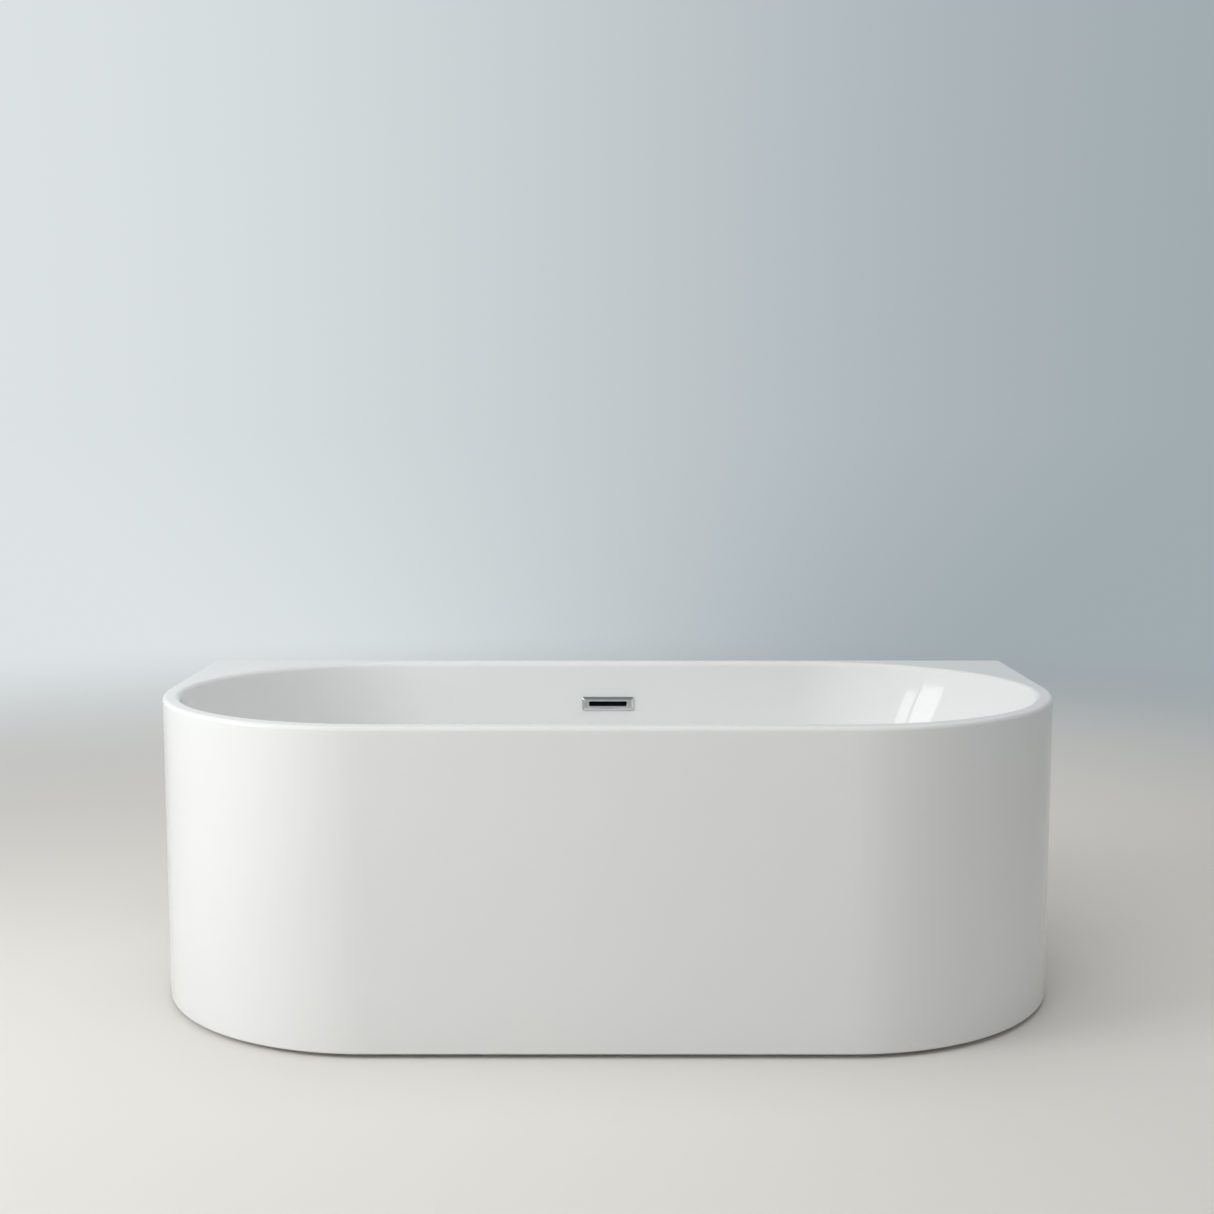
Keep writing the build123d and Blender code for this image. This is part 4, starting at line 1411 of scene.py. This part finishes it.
@dataclass
class Waste:
    """Click waste in the floor of the basin: the chrome drain and the plug that rises from it."""

    shape: TubShape
    rim: float = 0.036
    bore: float = 0.020
    tube: float = 0.023
    seat: float = 0.1415
    ring: float = 0.003
    ring_ease: float = 0.0008
    ease_steps: int = 4
    tube_end: float = 0.1135
    hub: float = 0.009
    hub_bore: float = 0.006
    hub_ease: float = 0.0006
    hub_steps: int = 48
    arm: float = 0.004
    arm_ease: float = 0.0008
    arm_steps: int = 3
    arm_low: float = 0.1155
    arm_high: float = 0.1215
    arm_turns: tuple[float, ...] = (90, 210, 330)
    cap: float = 0.031
    cap_low: float = 0.147
    cap_high: float = 0.153
    cap_edge: float = 0.004
    cap_soft: float = 0.0006
    cap_steps: int = 12
    steps: int = 96

    def __post_init__(self) -> None:
        """Find the axis of the waste."""
        self.centre = (0.0, self.shape.drain_y)

    def build(self) -> None:
        """Draw the drain and the plug."""
        self._drain()
        self._plug()

    def _drain(self) -> None:
        """Draw the drain with its three-armed guide."""
        draft = Draft()
        top = self.seat + self.ring
        profile = [
            (self.bore, self.tube_end),
            (self.tube, self.tube_end),
            (self.tube, self.seat),
            (self.rim, self.seat),
            (self.rim, self.seat + self.ring / 3),
            (self.rim - self.ring, top),
            (self.tube, top),
            (self.bore, top - self.ring),
        ]
        draft.lathe(eased(profile, self.ring_ease, self.ease_steps), self.steps, True, self.centre)
        low, high = self.arm_low, self.arm_high
        hub = [(self.hub_bore, low), (self.hub, low), (self.hub, high), (self.hub_bore, high)]
        draft.lathe(eased(hub, self.hub_ease), self.hub_steps, True, self.centre)
        for turn in self.arm_turns:
            self._arm(draft, math.radians(turn))
        dress(draft.piece("drain_ring", CHROME), TUB, Slot.CHROME, "drain_flange")

    def _arm(self, draft: Draft, turn: float) -> None:
        """Draw one arm of the guide from the hub to the tube.

        Args:
            draft: Draft to draw on.
            turn: Direction of the arm in radians.
        """
        along = Vector((math.cos(turn), math.sin(turn), 0.0))
        across = Vector((-along.y, along.x, 0.0))
        middle = Vector((*self.centre, (self.arm_low + self.arm_high) / 2))
        section = rounded_box(self.arm, self.arm_high - self.arm_low, self.arm_ease, self.arm_steps)
        rings = []
        for reach in ((self.hub + self.hub_bore) / 2, (self.bore + self.tube) / 2):
            start = middle + along * reach
            rings.append(draft.ring(start + across * u + Vector((0.0, 0.0, v)) for u, v in section))
        draft.loft(rings)

    def _plug(self) -> None:
        """Draw the cap of the plug."""
        draft = Draft()
        soft, low, high = self.cap_soft, self.cap_low, self.cap_high
        edge, flat = self.cap_edge, self.cap - self.cap_edge
        profile = [(0.0, low), (self.cap - soft, low), (self.cap, low + soft)]
        for cos, sin in quarter_turn(self.cap_steps):
            profile.append((flat + edge * cos, high - edge + edge * sin))
        profile += [(flat - soft, high), (0.0, high)]
        draft.lathe(profile, self.steps, centre=self.centre)
        dress(draft.piece("plug_top", CHROME), PLUG, Slot.CHROME, "plug_cap")


@dataclass
class UnderFrame:
    """Cross bars under the base board, with the screws and bolts that hold them."""

    shape: TubShape
    skirt: OuterSkirt
    repeat: Recipe
    bar_x: float = 0.459
    bar_width: float = 0.040
    bar_height: float = 0.025
    bar_wall: float = 0.002
    bar_corner: float = 0.003
    bar_inside: float = 0.001
    bar_half: float = 0.345
    bar_z: float = 0.091
    plate_y: float = -0.150
    plate_z: float = 0.112
    plate_screw: float = 0.033
    board_half: float = 0.215
    screw_shares: tuple[float, ...] = (-0.7, -0.3, 0.3, 0.7)
    screw_flats: float = 0.0075
    screw_head: float = 0.003
    washer: float = 0.005
    washer_high: float = 0.0009
    washer_soft: float = 0.0003
    washer_lap: float = 0.0001
    washer_steps: int = 40
    bolt_flats: float = 0.0094
    bolt_head: float = 0.004
    bracket: float = 0.003
    bracket_half: float = 0.015
    bracket_leg: float = 0.027
    toe_gap: float = 0.006

    def build(self) -> None:
        """Draw the bars, screws and bolts."""
        for side, x in (("left", -self.bar_x), ("right", self.bar_x)):
            dress(self._bar(f"cross_bar_{side}", x), TUB, Slot.GALVANISED, f"leg_bar_{side}")
        self._screws()
        self._bolts()

    def _bar(self, name: str, x: float) -> Piece:
        """Draw one bar as a tube with rounded corners.

        Args:
            name: Name of the piece.
            x: Place along the tub.

        Returns:
            The finished piece.
        """
        draft = Draft()
        hollow = 2 * self.bar_wall
        outer = rounded_box(self.bar_width, self.bar_height, self.bar_corner)
        inner = rounded_box(self.bar_width - hollow, self.bar_height - hollow, self.bar_inside)
        middle = self.bar_z + self.bar_height / 2
        rings = []
        for section, way in ((outer, -1), (outer, 1), (inner, 1), (inner, -1)):
            rings.append(draft.ring((x + u, way * self.bar_half, middle + v) for u, v in section))
        draft.loft(rings, hollow=True)
        return draft.piece(name, GALVANISED)

    def _screws(self) -> None:
        """Set the flanged screws under the bars and the centre plate."""
        draft = Draft()
        rim, high, soft = self.washer, self.washer_high, self.washer_soft
        washer = [(0.0, -high), (rim - soft, -high), (rim, soft - high), (rim, 0.0), (0.0, 0.0)]
        draft.lathe(washer, self.washer_steps)
        draft.hexagon(self.screw_flats, -self.screw_head, self.washer_lap - high)
        rows = [share * self.board_half for share in self.screw_shares]
        spots = [(x, y, self.bar_z) for x in (-self.bar_x, self.bar_x) for y in rows]
        reach = self.plate_screw
        spots += [(x, self.plate_y + y, self.plate_z) for x in (-reach, reach) for y in (-reach, reach)]
        dress(self.repeat.scatter("screw_set", ZINC, draft, spots), TUB, Slot.ZINC, "leg_screws")

    def _bolts(self) -> None:
        """Set the bolts of the two skirt brackets."""
        draft = Draft()
        draft.hexagon(self.bolt_flats, 0.0, self.bolt_head)
        top_y = self.bracket_leg / 2 - self.bar_half
        toe = self._front(self.bar_x + self.bracket_half, self.skirt.wall) + self.toe_gap
        toe_y = (toe + self._front(self.bar_x, self.skirt.flange)) / 2
        low = self.bar_z - self.bracket - self.bolt_head
        high = self.shape.floor_gap + self.skirt.wall + self.bracket
        spots = [(x, y, z) for x in (-self.bar_x, self.bar_x) for y, z in ((top_y, low), (toe_y, high))]
        dress(self.repeat.scatter("bolt_set", ZINC, draft, spots), TUB, Slot.ZINC, "bracket_bolts")

    def _front(self, x: float, inset: float) -> float:
        """Y of the front of the outline at one place along the tub.

        Args:
            x: Place along the tub.
            inset: Distance inside the outline.

        Returns:
            The place across the tub.
        """
        front = self.shape.front_radius
        side = max(abs(x) - self.shape.length / 2 + front, 0.0)
        return front - self.shape.depth / 2 - math.sqrt((front - inset) ** 2 - side**2)


@dataclass
class Feet:
    """Five levelling feet, each a pad and a threaded stud, with their nuts."""

    under: UnderFrame
    thread: Recipe
    ribs: Recipe
    corner_y: float = 0.290
    stud: float = 0.006
    stud_top: float = 0.014
    stud_sharp: float = 28.0
    pin: float = 0.005
    pin_low: float = 0.0041
    pin_bevel: float = 0.001
    pin_play: float = 0.0001
    pin_steps: int = 32
    collar_flats: float = 0.017
    collar_low: float = 0.0143
    collar: float = 0.008
    pad: float = 0.025
    pad_high: float = 0.014
    pad_bevel: float = 0.001
    pad_edge: float = 0.003
    edge_steps: int = 6
    pad_floor: float = 0.004
    pad_steps: int = 72
    groove_near: float = 0.0145
    groove_far: float = 0.0185
    groove_bank: float = 0.0005
    groove_deep: float = 0.0012
    socket_bevel: float = 0.0008
    rib: float = 0.0006
    rib_count: int = 48
    nut_flats: float = 0.019
    nut_play: float = 0.00005
    weld_nut: float = 0.010
    lock_nut: float = 0.007

    def __post_init__(self) -> None:
        """Find the place of each foot and the height of what it screws into."""
        under = self.under
        self.spots: dict[str, Spot] = {}
        for row, y in (("front", -self.corner_y), ("back", self.corner_y)):
            for side, x in (("left", -under.bar_x), ("right", under.bar_x)):
                self.spots[f"foot_{row}_{side}"] = (x, y, under.bar_z)
        self.spots["foot_centre"] = (0.0, under.plate_y, under.plate_z)

    def build(self) -> None:
        """Draw the feet and their nuts."""
        for name, (x, y, seat) in self.spots.items():
            dress(self._stud(name, x, y, seat), f"{name}_stud", Slot.ZINC, f"{name}_stud")
            dress(self._pad(name, x, y), f"{name}_pad", Slot.FOOT, f"{name}_pad")
        dress(self._nuts("weld_nut_set", self.weld_nut, 0.0), TUB, Slot.ZINC, "foot_weld_nuts")
        dress(self._nuts("lock_nut_set", self.lock_nut, self.weld_nut), TUB, Slot.ZINC, "foot_lock_nuts")

    def _stud(self, name: str, x: float, y: float, seat: float) -> Piece:
        """Draw one stud: pin, hexagon collar and thread.

        Args:
            name: Name of the foot.
            x: Place along the tub.
            y: Place across the tub.
            seat: Height of what it screws into.

        Returns:
            The finished piece.
        """
        draft = Draft()
        draft.hexagon(self.collar_flats, -self.collar, 0.0)
        start = self.collar_low + self.collar
        low, bevel = self.pin_low - start, self.pin_bevel
        pin = [(0.0, low), (self.pin - bevel, low), (self.pin, low + bevel), (self.pin, 0.0)]
        draft.lathe(pin, self.pin_steps)
        place = Matrix.Translation((x, y, start))
        sizes = {"Radius": self.stud, "Length": seat + self.stud_top - start}
        return self.thread.make(f"{name}_screw", ZINC, draft, place, self.stud_sharp, **sizes)

    def _pad(self, name: str, x: float, y: float) -> Piece:
        """Draw one pad with a ribbed edge.

        Args:
            name: Name of the foot.
            x: Place along the tub.
            y: Place across the tub.

        Returns:
            The finished piece.
        """
        draft = Draft()
        side = self.pad - self.rib
        socket = self.pin + self.pin_play
        high, edge, bevel = self.pad_high, self.pad_edge, self.pad_bevel
        near, far, bank = self.groove_near, self.groove_far, self.groove_bank
        groove = high - self.groove_deep
        profile = [(0.0, 0.0), (side - bevel, 0.0), (side, bevel)]
        for cos, sin in quarter_turn(self.edge_steps):
            profile.append((side - edge * (1 - cos), high - edge * (1 - sin)))
        profile += [(far, high), (far - bank, groove), (near + bank, groove), (near, high)]
        profile += [(socket + self.socket_bevel, high), (socket, high - self.socket_bevel)]
        profile += [(socket, self.pad_floor), (0.0, self.pad_floor)]
        draft.lathe(profile, self.pad_steps)
        height = high - edge - 2 * bevel
        sizes = {"Count": self.rib_count, "Radius": side, "Rib": self.rib}
        sizes |= {"Height": height, "Middle": bevel + height / 2}
        return self.ribs.make(f"{name}_disc", PAD_PLASTIC, draft, Matrix.Translation((x, y, 0.0)), **sizes)

    def _nuts(self, name: str, height: float, below: float) -> Piece:
        """Set one kind of nut on all the studs.

        Args:
            name: Name of the set.
            height: Height of the nut.
            below: Distance of its top under the seat.

        Returns:
            The finished piece.
        """
        draft = Draft()
        draft.hexagon(self.nut_flats, -height, 0.0, self.stud + self.nut_play)
        spots = [(x, y, seat - below) for x, y, seat in self.spots.values()]
        return self.under.repeat.scatter(name, ZINC, draft, spots)


@dataclass(frozen=True)
class NutSize:
    """Sizes of a ribbed plastic nut."""

    bore: float
    radius: float
    length: float
    ribs: int


@dataclass
class Couplings:
    """Trap under the waste and the ribbed plastic nuts that join it to the pipes."""

    shape: TubShape
    ribs: Recipe
    union: NutSize = NutSize(0.0292, 0.0352, 0.012, 30)
    union_z: float = 0.082
    pipe_nut: NutSize = NutSize(0.0126, 0.0172, 0.014, 18)
    inlet_reach: float = 0.070
    inlet_z: float = 0.108
    outlet_nut: NutSize = NutSize(0.02005, 0.0266, 0.016, 24)
    outlet_x: float = 0.108
    outlet_z: float = 0.054
    elbow: float = 0.050
    pot: float = 0.046
    pot_low: float = 0.012
    pot_seam: float = 0.036
    pot_high: float = 0.076
    pot_wall: float = 0.003
    pot_ease: float = 0.003
    pot_steps: int = 96
    ease_steps: int = 5
    band: float = 0.002
    collar: float = 0.0291
    collar_high: float = 0.086
    dip: float = 0.0251
    stub: float = 0.020
    stub_wall: float = 0.003
    stub_end: float = 0.068
    stub_ease: float = 0.0006
    stub_steps: int = 64
    rib: float = 0.001
    rib_count: int = 36
    rib_low: float = 0.004
    rib_spare: float = 0.007
    nut_rib: float = 0.0012
    nut_sink: float = 0.0002
    nut_spare: float = 0.003
    nut_ease: float = 0.0012
    nut_ease_steps: int = 4
    nut_steps: int = 72

    def build(self) -> None:
        """Draw the trap and the nuts. The two outlet nuts stand for one node."""
        self._pot()
        y = self.shape.drain_y
        upright = Matrix()
        over_y = Matrix.Rotation(-math.pi / 2, 4, "X")
        over_x = Matrix.Rotation(math.pi / 2, 4, "Y")
        inlet = y + self.inlet_reach + self.pipe_nut.length / 2
        outlet = (self.outlet_x, y + self.elbow, self.outlet_z)
        self._nut("union_nut", self.union, (0.0, y, self.union_z), upright, "trap_union_nut")
        self._nut("pipe_nut", self.pipe_nut, (0.0, inlet, self.inlet_z), over_y, "overflow_pipe_nut")
        self._nut("outlet_nut_1", self.outlet_nut, (self.stub_end, y, self.outlet_z), over_x, "outlet_nuts")
        self._nut("outlet_nut_2", self.outlet_nut, outlet, over_y)

    def _pot(self) -> None:
        """Draw the pot with its collar, its side outlet and a ribbed screw cup at the bottom."""
        draft = Draft()
        side = self.pot - self.rib
        inside = self.pot - self.pot_wall
        low, high, seam = self.pot_low, self.pot_high, self.pot_seam
        foot = low + self.pot_wall
        roof = high - self.pot_wall
        profile = [
            (0.0, low),
            (side - self.pot_ease, low),
            (side, low + self.pot_ease),
            (side, seam - self.band),
            (self.pot, seam - self.band),
            (self.pot, seam),
            (side, seam),
            (side, high),
            (self.collar, high),
            (self.collar, self.collar_high),
            (self.dip, self.collar_high),
            (self.dip, roof),
            (inside, roof),
            (inside, foot),
            (0.0, foot),
        ]
        draft.lathe(eased(profile, self.pot_ease, self.ease_steps, closed=False), self.pot_steps)
        bore = self.stub - self.stub_wall
        tube = [(inside, bore), (inside, self.stub), (self.stub_end, self.stub), (self.stub_end, bore)]
        turn = round_turn(self.stub_steps)
        rings = []
        for x, out in eased(tube, self.stub_ease):
            rings.append(draft.ring((x, out * cos, self.outlet_z + out * sin) for cos, sin in turn))
        draft.loft(rings, hollow=True)
        height = seam - low - self.rib_spare
        sizes = {"Count": self.rib_count, "Radius": side, "Rib": self.rib}
        sizes |= {"Height": height, "Middle": low + self.rib_low + height / 2}
        place = Matrix.Translation((0.0, self.shape.drain_y, 0.0))
        piece = self.ribs.make("trap_cup", PIPE_PLASTIC, draft, place, **sizes)
        dress(piece, TUB, Slot.PIPE, "trap_pot")

    def _nut(self, name: str, size: NutSize, middle: Spot, turn: Matrix, *nodes: str) -> None:
        """Draw one nut with grip ribs round it.

        Args:
            name: Name of the piece.
            size: Sizes of the nut.
            middle: Place of its middle.
            turn: Turn of its axis from upright.
            nodes: Nodes that it replaces.
        """
        draft = Draft()
        half = size.length / 2
        profile = [(size.bore, -half), (size.radius, -half), (size.radius, half), (size.bore, half)]
        draft.lathe(eased(profile, self.nut_ease, self.nut_ease_steps), self.nut_steps, hollow=True)
        sizes = {"Count": size.ribs, "Radius": size.radius - self.nut_sink, "Rib": self.nut_rib}
        sizes |= {"Height": size.length - self.nut_spare}
        piece = self.ribs.make(name, NUT_PLASTIC, draft, Matrix.Translation(middle) @ turn, **sizes)
        dress(piece, TUB, Slot.NUT, *nodes)


@dataclass(frozen=True)
class Lamp:
    """A soft rectangular lamp that the camera doesn't see."""

    name: str
    spot: Spot
    size: Pair
    power: float
    aim: Spot = (0.0, 0.0, 0.3)
    mirrored: bool = False

    def hang(self) -> None:
        """Hang the lamp so that it faces its aim."""
        light = bpy.data.lights.new(self.name, "AREA")
        light.shape = "RECTANGLE"
        light.size, light.size_y = self.size
        light.energy = self.power
        holder = bpy.data.objects.new(self.name, light)
        holder.location = self.spot
        way = Vector(self.aim) - Vector(self.spot)
        holder.rotation_euler = way.to_track_quat("-Z", "Y").to_euler()
        holder.visible_glossy = self.mirrored
        holder.visible_camera = False
        bpy.context.collection.objects.link(holder)


LAMPS = (
    Lamp("window_wide", (-3.4, -1.0, 1.38), (1.15, 1.17), 15.0, (0.0, -1.0, 1.38), True),
    Lamp("window_narrow", (-3.4, -2.06, 1.36), (0.62, 1.13), 7.0, (0.0, -2.06, 1.36), True),
    Lamp("key", (-3.2, -1.6, 2.2), (1.8, 1.6), 44.0),
    Lamp("overhead", (0.0, -0.3, 3.6), (3.2, 2.6), 27.0),
    Lamp("front", (-0.8, -2.8, 3.3), (2.4, 1.6), 26.0),
    Lamp("behind", (0.6, 3.3, 2.1), (3.0, 2.0), 16.0),
)


@dataclass
class Studio:
    """Floor, light and camera."""

    lens: float = 48.57
    film: float = 36.0
    camera_at: Spot = (0.00138, -3.11566, 1.08166)
    pitch: float = 0.1094
    yaw: float = 0.00095
    floor_half: float = 200.0
    floor_drop: float = 0.0003
    floor_colour: str = "e6e4df"
    floor_fade: Pair = (1.5, 5.5)
    # Painted light and shade of a room for the backdrop: paler on the left where the window light falls,
    # darker on the right, and a painted shaded ceiling darker towards the top.
    lit_backdrop_left: str = "dde3e5"
    shaded_backdrop_right: str = "a0abb0"
    backdrop_fade: Pair = (-0.4, 0.4)
    shaded_ceiling: str = "8c9092"
    shaded_ceiling_fade: Pair = (0.3, 0.8)
    ambient_low: float = 0.12
    ambient_high: float = 0.48

    def build(self) -> None:
        """Set up the whole studio."""
        self._camera()
        self._floor()
        self._world()
        for lamp in LAMPS:
            lamp.hang()

    def _camera(self) -> None:
        """Put the camera where the photograph was taken from."""
        camera = bpy.data.cameras.new("camera")
        camera.lens = self.lens
        camera.sensor_width = self.film
        holder = bpy.data.objects.new("camera", camera)
        holder.location = self.camera_at
        holder.rotation_euler = (math.pi / 2 - self.pitch, 0.0, self.yaw)
        bpy.context.collection.objects.link(holder)
        bpy.context.scene.camera = holder

    def _floor(self) -> None:
        """Lay a wide plain floor that fades into the backdrop."""
        half = self.floor_half
        draft = Draft()
        corners = ((-half, -half), (half, -half), (half, half), (-half, half))
        draft.face(draft.ring((x, y, -self.floor_drop) for x, y in corners))
        mesh = draft.mesh("studio_floor")
        floor = bpy.data.objects.new("studio_floor", mesh)
        bpy.context.collection.objects.link(floor)
        paint = Paint("studio_floor")
        paint.feed(Base_Color=linear(self.floor_colour), Roughness=0.9, Specular_IOR_Level=0.1)
        away = paint.wire("ShaderNodeVectorMath", {"operation": "LENGTH"}, {0: paint.place()}, "Value")
        way = paint.wire("ShaderNodeVectorMath", {"operation": "NORMALIZE"}, {0: paint.place()}, "Vector")
        # Far off, the floor glows in the backdrop's colours, painted light and shade included.
        far = paint.wire("ShaderNodeEmission", {}, {"Color": self._backdrop(paint, way), "Strength": 1.0})
        near = Wire(paint, paint.shader.outputs[0])
        sockets = {0: paint.fade(away, *self.floor_fade), 1: near, 2: far}
        mixed = paint.wire("ShaderNodeMixShader", {}, sockets)
        paint.set(paint.tree.nodes["Material Output"].inputs["Surface"], mixed)
        mesh.materials.append(paint.material)
        floor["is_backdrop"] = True

    def _backdrop(self, sheet: Sheet, way: Wire) -> Wire:
        """Colour of the backdrop in a direction of length one: painted light makes it paler towards the left,
        painted shade makes it darker towards the right.
        """
        share = sheet.fade(sheet.axis(way, "X"), *self.backdrop_fade)
        return sheet.blend(linear(self.lit_backdrop_left), linear(self.shaded_backdrop_right), share)

    def _world(self) -> None:
        """Soft light from all round, with a pale backdrop for what is seen or mirrored, painted with the light
        and shade of a room.
        """
        world = bpy.data.worlds.new("studio")
        bpy.context.scene.world = world
        world.use_nodes = True
        sheet = Sheet(world.node_tree)
        sheet.tree.nodes.clear()
        seen = sheet.node("ShaderNodeLightPath", {}, {})
        camera = Wire(sheet, seen.outputs["Is Camera Ray"])
        glossy = Wire(sheet, seen.outputs["Is Glossy Ray"])
        clear = Wire(sheet, seen.outputs["Is Transmission Ray"])
        way = sheet.wire("ShaderNodeTexCoord", {}, {}, "Generated")
        up = sheet.axis(way, "Z")
        rise = sheet.fade(up, *self.shaded_ceiling_fade)
        # Painted room: painted light on the left, painted shade on the right and overhead, seen by the camera
        # and mirrored in the gloss.
        room = sheet.blend(self._backdrop(sheet, way), linear(self.shaded_ceiling), rise)
        sockets = {"Value": up, "To Min": self.ambient_low, "To Max": self.ambient_high}
        soft = sheet.wire("ShaderNodeMapRange", {}, sockets)
        light = sheet.wire("ShaderNodeBackground", {}, {"Color": (1, 1, 1, 1), "Strength": soft})
        backdrop = sheet.wire("ShaderNodeBackground", {}, {"Color": room, "Strength": 1.0})
        sockets = {0: camera + glossy + clear > 0.5, 1: light, 2: backdrop}
        sheet.node("ShaderNodeOutputWorld", {}, {"Surface": sheet.wire("ShaderNodeMixShader", {}, sockets)})


KEPT = {
    BIRCH: ("base_board", "deck_board_left", "deck_board_right"),
    GALVANISED: ("centre_foot_plate", "skirt_brackets"),
    ZINC: ("overflow_retainer", "overflow_screws", "plug_clip"),
    CHROME: ("plug_stem",),
    RUBBER: ("overflow_gasket", "drain_seal", "waste_gasket", "plug_seal"),
    DARK_PLASTIC: ("click_cartridge",),
    PIPE_PLASTIC: ("overflow_pipe", "waste_body", "outlet_elbow", "outlet_pipe"),
}


def main() -> None:
    """Build the pieces in order, sized from the imported model."""
    logging.basicConfig(level=logging.INFO, format="%(message)s")
    bpy.context.scene.view_settings.view_transform = "Standard"
    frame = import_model()
    low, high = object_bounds()
    shape = TubShape(high[0] - low[0], high[1] - low[1], high[2] - low[2])
    repeat, thread, ribs = repeat_recipe(), thread_recipe(), rib_recipe()
    skirt = OuterSkirt(shape)
    under = UnderFrame(shape, skirt, repeat)
    Studio().build()
    BasinShell(shape).build()
    skirt.build()
    Overflow(shape, ribs).build()
    Waste(shape).build()
    Feet(under, thread, ribs).build()
    under.build()
    Couplings(shape, ribs).build()
    for finish, names in KEPT.items():
        coat(frame["nodes"], names, finish)


if __name__ == "__main__":
    main()
